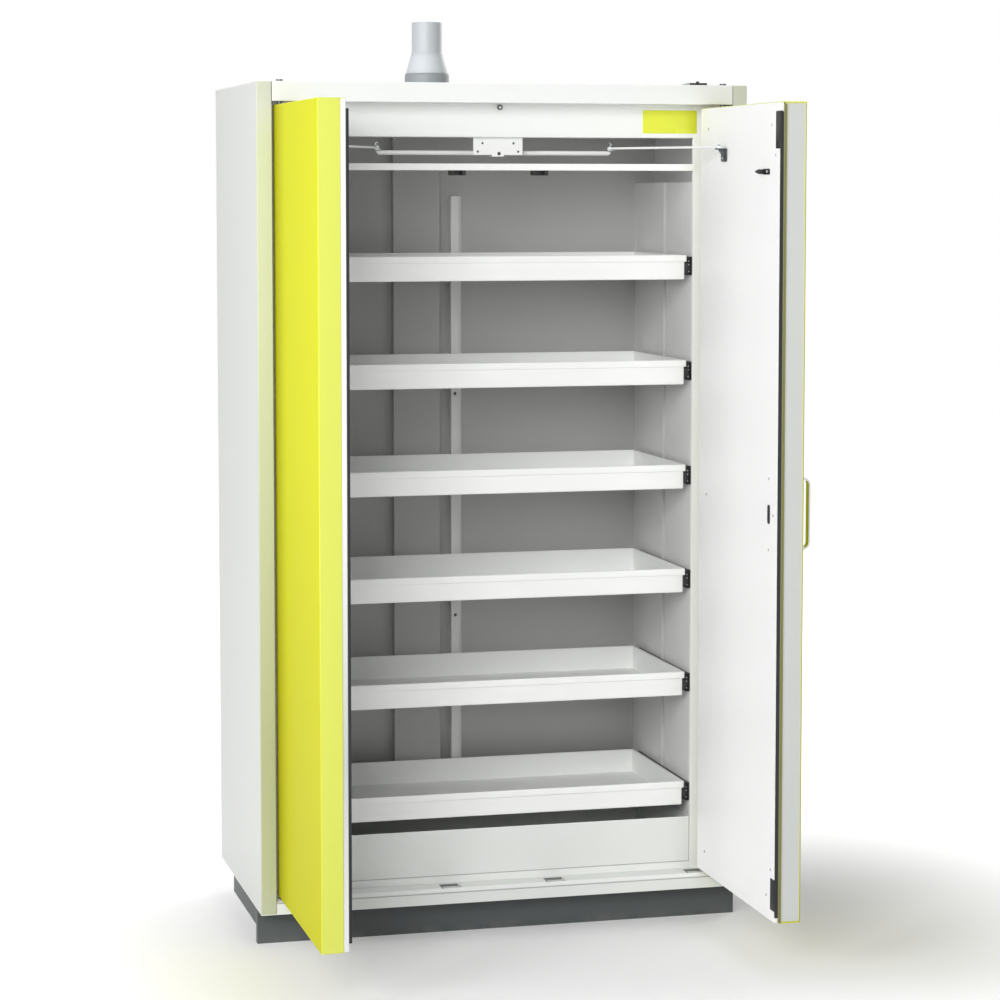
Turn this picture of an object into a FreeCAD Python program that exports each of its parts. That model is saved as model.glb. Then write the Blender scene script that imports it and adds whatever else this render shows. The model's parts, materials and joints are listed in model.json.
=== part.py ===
import FreeCAD, Part
import math
import operator
import os

import Sketcher
from FreeCAD import Placement, Rotation, Vector

# Flammable safety cabinet with two wing doors and six pull-out trays.
# Millimetres. The origin lies on the floor in the middle of the footprint,
# +Z is up, -Y is the front and +X is the right-hand side seen from the front.
# The doors are drawn open at 90 degrees and the trays pushed in.

SIZES = {
    # Casing
    "casing_width": 1200.0,
    "casing_depth": 615.0,
    "casing_top": 2050.0,
    "sheet": 1.5,
    "liner": 2.0,
    "side_wall": 59.0,
    "back_wall": 65.0,
    "roof_wall": 65.0,
    "strip_width": 36.5,
    "recess_depth": 70.0,
    "fascia_height": 46.5,
    "fold_radius": 2.0,
    "joint_gap": 0.5,
    # Frame round the opening
    "frame_width": 112.0,
    "jamb_return": 12.0,
    "header_height": 79.5,
    "header_depth": 60.0,
    "stud_radius": 6.0,
    "stud_length": 5.0,
    "stud_drop": 8.5,
    # Threshold and floor
    "sill_rise": 34.0,
    "sill_edge_rise": 27.0,
    "sill_slope": 17.0,
    "sill_thickness": 8.0,
    "sill_groove": 1.2,
    "floor_step": 16.8,
    "pocket_width": 50.0,
    "pocket_length": 44.0,
    "pocket_setback": 18.0,
    "pocket_sink": 4.0,
    "pocket_inner_place": 131.0,
    "pocket_outer_inset": 110.0,
    "cover_thickness": 2.0,
    "cover_gap": 2.5,
    # Inner walls
    "channel_top": 1817.0,
    "front_channel_end": 214.0,
    "channel_spacing": 22.0,
    "lining_hole_radius": 3.0,
    "lining_hole_setback": 48.0,
    "lining_hole_level": 1729.0,
    # Exhaust duct and upright on the back wall
    "duct_place": -101.5,
    "duct_width": 121.0,
    "duct_depth": 25.0,
    "duct_lift": 40.0,
    "upright_width": 21.0,
    "upright_depth": 21.0,
    "upright_top": 1783.0,
    "upright_flange": 10.0,
    "upright_hole_radius": 4.0,
    "upright_hole_high": 1278.0,
    "upright_hole_low": 704.0,
    # Cross rail and catches
    "closer_opening": 63.0,
    "rail_height": 16.0,
    "rail_depth": 25.0,
    "catch_width": 38.0,
    "catch_height": 12.0,
    "catch_slot": 20.0,
    "catch_back": 3.0,
    # Plinth
    "plinth_height": 84.0,
    "plinth_setback": 63.0,
    "plinth_board": 18.0,
    "plinth_side_inset": 27.0,
    "plinth_rear_inset": 27.0,
    # Exhaust spigot
    "spigot_place_x": -100.0,
    "spigot_setback": 205.0,
    "spigot_bore": 46.0,
    "spigot_wall": 3.0,
    "spigot_foot_radius": 52.0,
    "spigot_foot_height": 40.0,
    "spigot_cone_height": 51.0,
    "spigot_top_radius": 37.5,
    "spigot_top_height": 73.0,
    "collar_wall": 3.0,
    "collar_gap": 0.3,
    "collar_height": 38.0,
    # Earth terminal on the roof
    "terminal_inset": 122.0,
    "terminal_width": 43.0,
    "terminal_depth": 18.0,
    "terminal_height": 5.0,
    "terminal_setback": 3.0,
    "terminal_stud_radius": 4.0,
    "terminal_stud_height": 9.0,
    "terminal_clip_width": 22.0,
    "terminal_clip_rise": 6.0,
    # Doors
    "door_side_gap": 2.5,
    "door_middle_gap": 4.0,
    "door_top_gap": 8.7,
    "door_bottom_gap": 8.9,
    "door_skin": 1.5,
    "shell_depth": 50.4,
    "panel_thickness": 12.5,
    "panel_inset": 1.5,
    "panel_edge_radius": 2.0,
    "fill_gap": 0.3,
    "door_edge_radius": 3.0,
    "end_frame": 3.0,
    "pivot_inset": 18.0,
    "pivot_depth": 14.0,
    "hinge_corner_radius": 14.0,
    # Hinge pins
    "pin_radius": 6.0,
    "pin_fit": 0.06,
    "pin_reach": 30.0,
    "pin_cap_radius": 8.0,
    "pin_cap_height": 4.0,
    "pin_collar_radius": 12.0,
    "pin_collar_lift": 1.0,
    "pin_collar_gap": 0.3,
    "pin_core_gap": 2.0,
    # Door edge pieces
    "strip_thickness": 6.5,
    "strip_breadth": 25.0,
    "strip_edge_inset": 2.0,
    "strip_bottom": 147.0,
    "strip_top": 1972.0,
    "seal_width": 3.0,
    "seal_depth": 8.0,
    "seal_bottom": 140.0,
    "latch_width": 29.0,
    "latch_depth": 8.0,
    "latch_gap": 0.4,
    "top_latch_bottom": 1890.0,
    "top_latch_height": 84.0,
    "bottom_latch_bottom": 153.0,
    "bottom_latch_height": 74.0,
    # Handle and lock
    "handle_inset": 57.0,
    "handle_middle": 1061.5,
    "handle_height": 167.0,
    "handle_reach": 34.0,
    "handle_width": 19.0,
    "handle_thickness": 5.0,
    "handle_radius": 20.0,
    "lock_radius": 9.0,
    "lock_fit": 0.06,
    "lock_length": 26.0,
    "lock_proud": 3.0,
    "lock_rose_radius": 14.0,
    "lock_rose_height": 2.0,
    "lock_slot_width": 2.0,
    "lock_slot_length": 9.0,
    "lock_core_gap": 2.0,
    "lock_back_width": 14.0,
    "lock_back_height": 44.0,
    "lock_back_depth": 2.0,
    "lock_back_radius": 6.7,
    # Self-closing gear
    "closer_setback": 50.0,
    "closer_level": 1887.0,
    "tube_radius": 5.5,
    "tube_bore": 4.2,
    "tube_end": 293.0,
    "block_half_width": 12.0,
    "block_front": 18.0,
    "block_rear": 10.0,
    "block_drop": 9.0,
    "cover_half_width": 61.0,
    "cover_setback": 16.0,
    "cover_height": 42.0,
    "cover_fold": 50.0,
    "tab_half_width": 15.0,
    "tab_drop": 4.0,
    "rod_level": 1899.0,
    "rod_radius": 2.75,
    "rod_door_reach": 174.0,
    "rod_door_depth": 68.0,
    "carriage_place": 290.0,
    "eye_radius": 6.0,
    "eye_height": 6.0,
    "eye_pin_radius": 2.5,
    "eye_pin_fit": 0.06,
    "eye_gap": 0.3,
    "eye_pin_head": 4.0,
    "eye_pin_head_height": 2.0,
    "saddle_length": 18.0,
    "saddle_width": 24.0,
    "saddle_gap": 0.35,
    # Bracket and striker on each door
    "bracket_start": 139.0,
    "bracket_breadth": 40.0,
    "bracket_height": 31.0,
    "bracket_thickness": 3.0,
    "bracket_arm_start": 160.0,
    "bracket_arm_margin": 7.0,
    "striker_inset": 100.0,
    "striker_radius": 5.5,
    "striker_length": 24.0,
    "striker_nose": 4.0,
    "striker_base_height": 13.0,
    "striker_base_length": 40.0,
    "striker_base_thickness": 3.0,
    "striker_base_start": 7.0,
    # Trays
    "tray_setback": 5.0,
    "tray_back_gap": 50.0,
    "slide_space": 13.4,
    "tray_height": 60.0,
    "tray_rim_height": 16.5,
    "tray_rim_step": 5.2,
    "tray_sheet": 1.5,
    "tray_corner_radius": 4.0,
    "tray_top_level": 1639.9,
    "tray_pitch": 257.35,
    "lowest_tray_level": 336.4,
    "sump_back_gap": 35.0,
    "sump_height": 112.5,
    "sump_gap": 0.5,
    "sump_sheet": 1.5,
    # Telescopic slides
    "slide_back_gap": 63.0,
    "slide_setback": 2.0,
    "slide_drop": 27.0,
    "slide_height": 45.0,
    "slide_sheet": 1.2,
    "slide_lip": 9.5,
    "slide_middle_lip": 8.0,
    "slide_inner_lip": 8.4,
    "slide_race_gap": 0.4,
    "slide_web_gap": 1.2,
    "slide_tray_gap": 0.6,
    "slide_spacer_height": 26.0,
}

TRAY_COUNT = 6
SIDES = {1: "right", -1: "left"}
PLANES = {"X": "YZ_Plane", "Y": "XZ_Plane", "Z": "XY_Plane"}
OPEN_ANGLE = -90.0

doc = FreeCAD.newDocument("safety_cabinet")
parts = []
cuts = []


class Size:
    """A number together with the sheet formula that it comes from."""

    def __init__(self, number, formula):
        self.number = float(number)
        self.formula = formula

    def __add__(self, other):
        return joined(self, other, "+", operator.add)

    def __radd__(self, other):
        return joined(other, self, "+", operator.add)

    def __sub__(self, other):
        return joined(self, other, "-", operator.sub)

    def __rsub__(self, other):
        return joined(other, self, "-", operator.sub)

    def __mul__(self, other):
        return joined(self, other, "*", operator.mul)

    def __rmul__(self, other):
        return joined(other, self, "*", operator.mul)

    def __truediv__(self, other):
        return joined(self, other, "/", operator.truediv)

    def __neg__(self):
        return joined(0.0, self, "-", operator.sub)


class Sheet:
    """Gives each size of the table by its name."""

    def __getattr__(self, name):
        return Size(SIZES[name], "Sizes." + name)


def as_size(value):
    if isinstance(value, Size):
        return value
    return Size(value, f"({float(value)!r})")


def joined(left, right, sign, work):
    left = as_size(left)
    right = as_size(right)
    return Size(work(left.number, right.number), f"({left.formula} {sign} {right.formula})")


def root_of(value):
    return Size(math.sqrt(value.number), f"sqrt({value.formula})")


def direction_of(rise, run):
    """Angle in degrees of the direction that goes run along X and rise along Y."""
    return Size(math.degrees(math.atan2(rise.number, run.number)), f"atan2({rise.formula}; {run.formula})")


def fill_sheet():
    sheet = doc.addObject("Spreadsheet::Sheet", "Sizes")
    for row, (name, number) in enumerate(SIZES.items(), 1):
        sheet.set(f"A{row}", str(number))
        sheet.setAlias(f"A{row}", name)
    doc.recompute()


def bind(item, name, value):
    item.setExpression(name, as_size(value).formula)


def keep(item, label):
    """Names a finished sub-part and lists it for export."""
    item.Label = label
    parts.append(item)
    return item


def start_body(name):
    return doc.addObject("PartDesign::Body", name)


def place(item, x=0.0, y=0.0, z=0.0, angle=None):
    """Moves a sub-part, and turns it about +Z where an angle is given."""
    if angle is not None:
        item.Placement = Placement(Vector(0, 0, 0), Rotation(Vector(0, 0, 1), 1.0))
        bind(item, "Placement.Rotation.Angle", angle)
    bind(item, "Placement.Base.x", x)
    bind(item, "Placement.Base.y", y)
    bind(item, "Placement.Base.z", z)
    return item


def sketch_at(body, axis, level):
    """Starts a sketch square to an axis of its body, at a level along that axis."""
    sketch = body.newObject("Sketcher::SketchObject", body.Name + "_sketch")
    plane = next(item for item in body.Origin.OriginFeatures if item.Role == PLANES[axis])
    sketch.AttachmentSupport = [(plane, "")]
    sketch.MapMode = "FlatFace"
    offset = -as_size(level) if axis == "Y" else as_size(level)
    bind(sketch, "AttachmentOffset.Base.z", offset)
    return sketch


def pin_point(sketch, line, end, point):
    """Holds one end of a sketch line at two sizes from the sketch origin."""
    for kind, value in zip(("DistanceX", "DistanceY"), point):
        value = as_size(value)
        rule = sketch.addConstraint(Sketcher.Constraint(kind, -1, 1, line, end, value.number))
        bind(sketch, f"Constraints[{rule}]", value)


def draw_outline(sketch, corners):
    spots = [Vector(as_size(a).number, as_size(b).number, 0) for a, b in corners]
    count = len(spots)
    for index, spot in enumerate(spots):
        sketch.addGeometry(Part.LineSegment(spot, spots[(index + 1) % count]), False)
    for index in range(count):
        sketch.addConstraint(Sketcher.Constraint("Coincident", index, 2, (index + 1) % count, 1))
    for index, corner in enumerate(corners):
        pin_point(sketch, index, 1, corner)


def draw_circles(sketch, circles):
    for index, (a, b, radius) in enumerate(circles):
        centre = Vector(as_size(a).number, as_size(b).number, 0)
        sketch.addGeometry(Part.Circle(centre, Vector(0, 0, 1), as_size(radius).number), False)
        pin_point(sketch, index, 3, (a, b))
        rule = sketch.addConstraint(Sketcher.Constraint("Radius", index, as_size(radius).number))
        bind(sketch, f"Constraints[{rule}]", radius)


def rectangle(first, second):
    """Corners of a rectangle from its spans along the two sketch axes."""
    return [(first[0], second[0]), (first[1], second[0]), (first[1], second[1]), (first[0], second[1])]


def pad(body, axis, shape, low, high):
    """Adds a solid with the drawn shape from one level to a higher one along an axis."""
    sketch = sketch_at(body, axis, low)
    draw_shape(sketch, shape)
    feature = body.newObject("PartDesign::Pad", body.Name + "_pad")
    feature.Profile = sketch
    feature.Reversed = axis == "Y"
    bind(feature, "Length", high - low)
    return body


def pocket(body, axis, shape, low, high):
    """Cuts the drawn shape out of a body between two levels along an axis."""
    sketch = sketch_at(body, axis, low if axis == "Y" else high)
    draw_shape(sketch, shape)
    base = body.Tip
    feature = body.newObject("PartDesign::Pocket", body.Name + "_pocket")
    feature.Profile = sketch
    bind(feature, "Length", high - low)
    cuts.append((base, feature))
    return body


def draw_shape(sketch, shape):
    """Draws circles where each entry has a radius, and an outline otherwise."""
    if len(shape[0]) == 3:
        draw_circles(sketch, shape)
    else:
        draw_outline(sketch, shape)


def prism(name, axis, shape, low, high):
    return pad(start_body(name), axis, shape, low, high)


def turned(name, outline):
    """Turns an outline of radius and height pairs about the Z axis of its body."""
    body = start_body(name)
    sketch = sketch_at(body, "Y", 0.0)
    draw_outline(sketch, outline)
    feature = body.newObject("PartDesign::Revolution", name + "_turn")
    feature.Profile = sketch
    feature.ReferenceAxis = (sketch, ["V_Axis"])
    feature.Angle = 360.0
    return body


def round_edges(body, radius, spots):
    """Rounds the edges of a body whose middles lie at the given spots."""
    doc.recompute()
    base = body.Tip
    middles = [edge.CenterOfMass for edge in base.Shape.Edges]
    names = []
    for spot in spots:
        target = Vector(*[as_size(value).number for value in spot])
        gaps = [middle.distanceToPoint(target) for middle in middles]
        names.append(f"Edge{gaps.index(min(gaps)) + 1}")
    feature = body.newObject("PartDesign::Fillet", body.Name + "_round")
    feature.Base = (base, names)
    bind(feature, "Radius", radius)
    return body


def box(name, x_span, y_span, z_span):
    item = doc.addObject("Part::Box", name)
    for size_name, place_name, span in zip(("Length", "Width", "Height"), "xyz", (x_span, y_span, z_span)):
        bind(item, size_name, span[1] - span[0])
        bind(item, "Placement.Base." + place_name, span[0])
    return item


def difference(name, base, tool):
    item = doc.addObject("Part::Cut", name)
    item.Base = base
    item.Tool = tool
    return item


def group(name, items):
    item = doc.addObject("Part::Compound", name)
    item.Links = items
    return item


def both_ways(distance):
    """Span from minus a distance to plus that distance."""
    return -distance, distance


def across(hand, inner, outer):
    """Span in X between two distances from the middle, on the right or left side."""
    return (inner, outer) if hand > 0 else (-outer, -inner)


def mirrored(points, hand):
    return [(hand * as_size(x), y) for x, y in points]


def middle_of(span):
    return (span[0] + span[1]) / 2


fill_sheet()
s = Sheet()

# Places shared by several sub-parts
half = s.casing_width / 2
front = -s.casing_depth / 2
rear = s.casing_depth / 2
strip_x = half - s.strip_width
wall_x = half - s.side_wall
opening_x = half - s.frame_width
frame_y = front + s.recess_depth
header_back = frame_y + s.header_depth
back_y = rear - s.back_wall
low_z = s.plinth_height + s.sheet
high_z = s.casing_top - s.sheet
fascia_z = s.casing_top - s.fascia_height
header_z = fascia_z - s.header_height
ceiling_z = s.casing_top - s.roof_wall
sill_z = s.plinth_height + s.sill_rise
sill_edge_z = s.plinth_height + s.sill_edge_rise
floor_z = sill_z + s.floor_step
under_floor = floor_z - s.liner
rail_top = header_z - s.closer_opening
rail_bottom = rail_top - s.rail_height
striker_z = rail_bottom - s.catch_height / 2
door_bottom = sill_z + s.door_bottom_gap
door_top = fascia_z - s.door_top_gap
pivot_x = strip_x - s.door_side_gap - s.pivot_inset
pivot_y = front + s.pivot_depth
outer_face = -s.pivot_depth
shell_back = s.shell_depth - s.pivot_depth
inner_face = shell_back + s.panel_thickness
free_edge = pivot_x - s.door_middle_gap / 2
closer_y = frame_y + s.closer_setback
spigot_y = rear - s.spigot_setback
handle_place = free_edge - s.handle_inset
striker_place = free_edge - s.striker_inset
bore_radius = s.pin_radius + s.pin_fit


def outer_sheets():
    """Folded side sheets with the front strip, and the flat roof, back and base sheets."""
    for hand, side in SIDES.items():
        outline = [
            (half, rear),
            (half, front),
            (strip_x, front),
            (strip_x, frame_y),
            (strip_x + s.sheet, frame_y),
            (strip_x + s.sheet, front + s.sheet),
            (half - s.sheet, front + s.sheet),
            (half - s.sheet, rear),
        ]
        body = prism(side + "_side_panel", "Z", mirrored(outline, hand), low_z, high_z)
        middle = middle_of((low_z, high_z))
        round_edges(body, s.fold_radius, [(hand * half, front, middle), (hand * strip_x, front, middle)])
        keep(body, side + "_side_panel")

    inside = both_ways(half - s.sheet)
    keep(box("back_panel", inside, (rear - s.sheet, rear), (low_z, high_z)), "back_panel")
    keep(box("base_panel", both_ways(half), (front, rear), (s.plinth_height, low_z)), "base_panel")
    roof = prism("top_panel", "Z", rectangle(both_ways(half), (front, rear)), high_z, s.casing_top)
    holes = [(pivot_x, pivot_y, bore_radius), (-pivot_x, pivot_y, bore_radius), spigot_circle()]
    keep(pocket(roof, "Z", holes, high_z, s.casing_top), "top_panel")


def spigot_circle():
    return s.spigot_place_x, spigot_y, s.spigot_bore


def front_fascia():
    """Folded sheet above the doors, with the bores of the upper hinge pins."""
    outline = [
        (front, high_z),
        (front, fascia_z),
        (frame_y, fascia_z),
        (frame_y, fascia_z + s.sheet),
        (front + s.sheet, fascia_z + s.sheet),
        (front + s.sheet, high_z),
    ]
    reach = strip_x - s.joint_gap
    body = prism("front_fascia", "X", outline, -reach, reach)
    bores = [(pivot_x, pivot_y, bore_radius), (-pivot_x, pivot_y, bore_radius)]
    pocket(body, "Z", bores, fascia_z, fascia_z + s.sheet)
    keep(round_edges(body, s.fold_radius, [(0.0, front, fascia_z)]), "front_fascia")


def insulation_boards():
    """Fire boards that fill the walls between the outer and the inner sheets."""
    boards = []
    wall_back = wall_x + s.liner
    behind_frame = frame_y + s.sheet
    behind_lining = back_y + s.liner
    for hand, side in SIDES.items():
        wall_span = across(hand, wall_back, half - s.sheet)
        strip_span = across(hand, strip_x + s.sheet, half - s.sheet)
        boards.append(box(side + "_board", wall_span, (behind_frame, rear - s.sheet), (low_z, high_z)))
        strip_y = (front + s.sheet, behind_frame)
        boards.append(box(side + "_strip_board", strip_span, strip_y, (low_z, high_z)))
    between = both_ways(wall_back)
    boards.append(box("back_board", between, (behind_lining, rear - s.sheet), (low_z, high_z)))
    floor_y = (frame_y + s.jamb_return, behind_lining)
    boards.append(box("floor_board", between, floor_y, (low_z, under_floor)))
    boards.append(box("header_board", both_ways(opening_x), (behind_frame, header_back - s.sheet),
                      (header_z + s.sheet, high_z)))
    sill_fill = (front + s.sill_thickness, frame_y)
    sill_under = sill_edge_z - s.sill_thickness
    boards.append(box("sill_board", both_ways(opening_x), sill_fill, (low_z, sill_under)))
    roof_outline = rectangle(between, (header_back, behind_lining))
    roof = prism("roof_board", "Z", roof_outline, ceiling_z + s.liner, high_z)
    boards.append(pocket(roof, "Z", [spigot_circle()], ceiling_z + s.liner, high_z))
    keep(group("insulation_boards", boards), "insulation_boards")


def frame_sheets():
    """Jambs and header that stand behind the doors round the opening."""
    for hand, side in SIDES.items():
        outline = [
            (opening_x, frame_y),
            (strip_x + s.sheet, frame_y),
            (strip_x + s.sheet, frame_y + s.sheet),
            (opening_x + s.sheet, frame_y + s.sheet),
            (opening_x + s.sheet, frame_y + s.jamb_return),
            (opening_x, frame_y + s.jamb_return),
        ]
        keep(prism(side + "_jamb", "Z", mirrored(outline, hand), low_z, high_z), side + "_jamb")

    outline = [
        (frame_y, fascia_z + s.sheet),
        (frame_y, header_z),
        (header_back, header_z),
        (header_back, ceiling_z + s.liner),
        (header_back - s.sheet, ceiling_z + s.liner),
        (header_back - s.sheet, header_z + s.sheet),
        (frame_y + s.sheet, header_z + s.sheet),
        (frame_y + s.sheet, fascia_z + s.sheet),
    ]
    header = prism("header_panel", "X", outline, -opening_x, opening_x)
    stud = [(0.0, fascia_z - s.stud_drop, s.stud_radius)]
    pad(header, "Y", stud, frame_y - s.stud_length, frame_y)
    stud_bottom = fascia_z - s.stud_drop - s.stud_radius
    rim = (0.0, frame_y - s.stud_length, stud_bottom)
    keep(round_edges(header, s.fold_radius, [rim, (0.0, frame_y, header_z)]), "header_panel")


def threshold():
    """Sill with its sloped nose and the four latch pockets with their cover plates."""
    outline = [
        (front, low_z),
        (front, sill_edge_z - s.sill_groove),
        (front + s.sill_groove, sill_edge_z),
        (front, sill_edge_z + s.sill_groove),
        (front + s.sill_slope, sill_z),
        (frame_y, sill_z),
        (frame_y, sill_z - s.sill_thickness),
        (front + s.sill_slope, sill_z - s.sill_thickness),
        (front + s.sill_thickness, sill_edge_z - s.sill_thickness),
        (front + s.sill_thickness, low_z),
    ]
    reach = strip_x - s.joint_gap
    sill = prism("sill", "X", outline, -reach, reach)
    bores = [(pivot_x, pivot_y, bore_radius), (-pivot_x, pivot_y, bore_radius)]
    pocket(sill, "Z", bores, sill_z - 2 * s.sill_thickness, sill_z)
    pocket_y = (front + s.pocket_setback, front + s.pocket_setback + s.pocket_length)
    plate_y = (pocket_y[0] + s.cover_gap, pocket_y[1] - s.cover_gap)
    bottom = sill_z - s.pocket_sink
    covers = []
    for distance in (s.pocket_inner_place, half - s.pocket_outer_inset):
        for hand in SIDES:
            centre = hand * distance
            reach = s.pocket_width / 2
            pocket(sill, "Z", rectangle((centre - reach, centre + reach), pocket_y), bottom, sill_z)
            reach = reach - s.cover_gap
            span = (centre - reach, centre + reach)
            covers.append(box("sill_cover", span, plate_y, (bottom, bottom + s.cover_thickness)))
    keep(sill, "sill")
    keep(group("sill_covers", covers), "sill_covers")


def channel(name, hand, low, high):
    """Folded upright that stands between the wall liner and the slides."""
    outline = [
        (opening_x, low),
        (opening_x, high),
        (wall_x, high),
        (wall_x, high - s.sheet),
        (opening_x + s.sheet, high - s.sheet),
        (opening_x + s.sheet, low + s.sheet),
        (wall_x, low + s.sheet),
        (wall_x, low),
    ]
    return prism(name, "Z", mirrored(outline, hand), under_floor, s.channel_top)


def linings():
    """Inner sheets of the side walls, the back, the ceiling and the floor."""
    channel_start = frame_y + s.jamb_return + s.joint_gap
    channel_end = frame_y + s.front_channel_end
    for hand, side in SIDES.items():
        liner_span = across(hand, wall_x, wall_x + s.liner)
        liner_y = (frame_y + s.sheet, back_y + s.liner)
        liner = box(side + "_wall_liner", liner_span, liner_y, (under_floor, ceiling_z))
        first = channel(side + "_front_channel", hand, channel_start, channel_end)
        hole = [(frame_y + s.lining_hole_setback, s.lining_hole_level, s.lining_hole_radius)]
        pocket(first, "X", hole, *across(hand, opening_x, opening_x + s.sheet))
        second = channel(side + "_rear_channel", hand, channel_end + s.channel_spacing, back_y)
        keep(group(side + "_lining", [liner, first, second]), side + "_lining")

    inside = both_ways(wall_x)
    back = box("back_lining", inside, (back_y, back_y + s.liner), (under_floor, ceiling_z))
    keep(back, "back_lining")
    outline = rectangle(both_ways(wall_x + s.liner), (header_back, back_y + s.liner))
    ceiling = prism("ceiling_lining", "Z", outline, ceiling_z, ceiling_z + s.liner)
    keep(pocket(ceiling, "Z", [spigot_circle()], ceiling_z, ceiling_z + s.liner), "ceiling_lining")
    outline = [
        (frame_y, sill_z),
        (frame_y, floor_z),
        (back_y, floor_z),
        (back_y, under_floor),
        (frame_y + s.liner, under_floor),
        (frame_y + s.liner, sill_z),
    ]
    keep(prism("floor_lining", "X", outline, -opening_x, opening_x), "floor_lining")


def duct_and_upright():
    """Exhaust duct cover and hat-shaped upright on the back wall."""
    duct_front = back_y - s.duct_depth
    left = s.duct_place - s.duct_width / 2
    right = s.duct_place + s.duct_width / 2
    outline = [
        (left, back_y),
        (left, duct_front),
        (right, duct_front),
        (right, back_y),
        (right - s.sheet, back_y),
        (right - s.sheet, duct_front + s.sheet),
        (left + s.sheet, duct_front + s.sheet),
        (left + s.sheet, back_y),
    ]
    keep(prism("exhaust_duct", "Z", outline, floor_z + s.duct_lift, ceiling_z), "exhaust_duct")

    side = s.upright_width / 2
    upright_front = back_y - s.upright_depth
    outline = [
        (-side, back_y),
        (-side, upright_front),
        (side, upright_front),
        (side, back_y - s.sheet),
        (side + s.upright_flange, back_y - s.sheet),
        (side + s.upright_flange, back_y),
        (side - s.sheet, back_y),
        (side - s.sheet, upright_front + s.sheet),
        (-side + s.sheet, upright_front + s.sheet),
        (-side + s.sheet, back_y),
    ]
    upright = prism("back_upright", "Z", outline, floor_z, s.upright_top)
    holes = [(0.0, level, s.upright_hole_radius) for level in (s.upright_hole_high, s.upright_hole_low)]
    keep(pocket(upright, "Y", holes, upright_front, upright_front + s.sheet), "back_upright")


def rail_and_catches():
    """Cross rail under the closer, and the catches that take the striker pins."""
    rail_back = frame_y + s.rail_depth
    ends = both_ways(opening_x)
    outline = rectangle((frame_y, rail_back), (rail_bottom, rail_top))
    hollow_y = (frame_y + s.sheet, rail_back - s.sheet)
    hollow = rectangle(hollow_y, (rail_bottom + s.sheet, rail_top - s.sheet))
    keep(pocket(prism("cross_rail", "X", outline, *ends), "X", hollow, *ends), "cross_rail")

    catches = []
    slot_back = rail_back - s.catch_back
    for hand, side in SIDES.items():
        centre = hand * (pivot_x - striker_place)
        reach = s.catch_width / 2
        slot = s.catch_slot / 2
        outline = [
            (centre - reach, frame_y),
            (centre - slot, frame_y),
            (centre - slot, slot_back),
            (centre + slot, slot_back),
            (centre + slot, frame_y),
            (centre + reach, frame_y),
            (centre + reach, rail_back),
            (centre - reach, rail_back),
        ]
        catches.append(prism(side + "_catch", "Z", outline, rail_bottom - s.catch_height, rail_bottom))
    keep(group("rail_catches", catches), "rail_catches")


def plinth():
    """Plinth board at the front and the frame of boards behind it."""
    board_front = front + s.plinth_setback
    frame_front = board_front + s.plinth_board
    frame_rear = rear - s.plinth_rear_inset
    side_x = half - s.plinth_side_inset
    height = (as_size(0.0), s.plinth_height)
    keep(box("plinth_front", both_ways(half), (board_front, frame_front), height), "plinth_front")
    boards = []
    for hand, side in SIDES.items():
        span = across(hand, side_x - s.plinth_board, side_x)
        boards.append(box(side + "_plinth_board", span, (frame_front, frame_rear), height))
    inner_x = both_ways(side_x - s.plinth_board)
    rear_y = (frame_rear - s.plinth_board, frame_rear)
    boards.append(box("rear_plinth_board", inner_x, rear_y, height))
    middle_x = both_ways(s.plinth_board / 2)
    boards.append(box("middle_plinth_board", middle_x, (frame_front, rear_y[0]), height))
    keep(group("plinth_frame", boards), "plinth_frame")


def spigot():
    """Exhaust spigot on the roof: a reducer that stands in a collar."""
    foot_top = s.spigot_foot_height
    cone_top = foot_top + s.spigot_cone_height
    top = cone_top + s.spigot_top_height
    outline = [
        (s.spigot_foot_radius - s.spigot_wall, 0.0),
        (s.spigot_foot_radius, 0.0),
        (s.spigot_foot_radius, foot_top),
        (s.spigot_top_radius, cone_top),
        (s.spigot_top_radius, top),
        (s.spigot_top_radius - s.spigot_wall, top),
        (s.spigot_top_radius - s.spigot_wall, cone_top),
        (s.spigot_foot_radius - s.spigot_wall, foot_top),
    ]
    reducer = turned("spigot_reducer", outline)
    keep(place(reducer, s.spigot_place_x, spigot_y, s.casing_top), "spigot_reducer")
    bore = s.spigot_foot_radius + s.collar_gap
    outline = rectangle((bore, bore + s.collar_wall), (0.0, s.collar_height))
    collar = turned("spigot_collar", outline)
    keep(place(collar, s.spigot_place_x, spigot_y, s.casing_top), "spigot_collar")


def earth_terminal():
    """Low terminal block with its stud and a sloped cable clip at the roof's front edge."""
    y_span = (front + s.terminal_setback, front + s.terminal_setback + s.terminal_depth)
    reach = s.terminal_width / 2
    middle = half - s.terminal_inset
    x_span = (middle - reach, middle + reach)
    top = s.casing_top + s.terminal_height
    block = prism("terminal_block", "Z", rectangle(x_span, y_span), s.casing_top, top)
    stud = [(middle, middle_of(y_span), s.terminal_stud_radius)]
    pad(block, "Z", stud, top, s.casing_top + s.terminal_stud_height)
    clip_end = x_span[0] - s.joint_gap
    clip_start = clip_end - s.terminal_clip_width
    outline = [
        (clip_start, s.casing_top),
        (clip_end, s.casing_top),
        (clip_end, s.casing_top + s.terminal_clip_rise),
    ]
    clip = prism("terminal_clip", "Y", outline, *y_span)
    keep(group("earth_terminal", [block, clip]), "earth_terminal")


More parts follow.
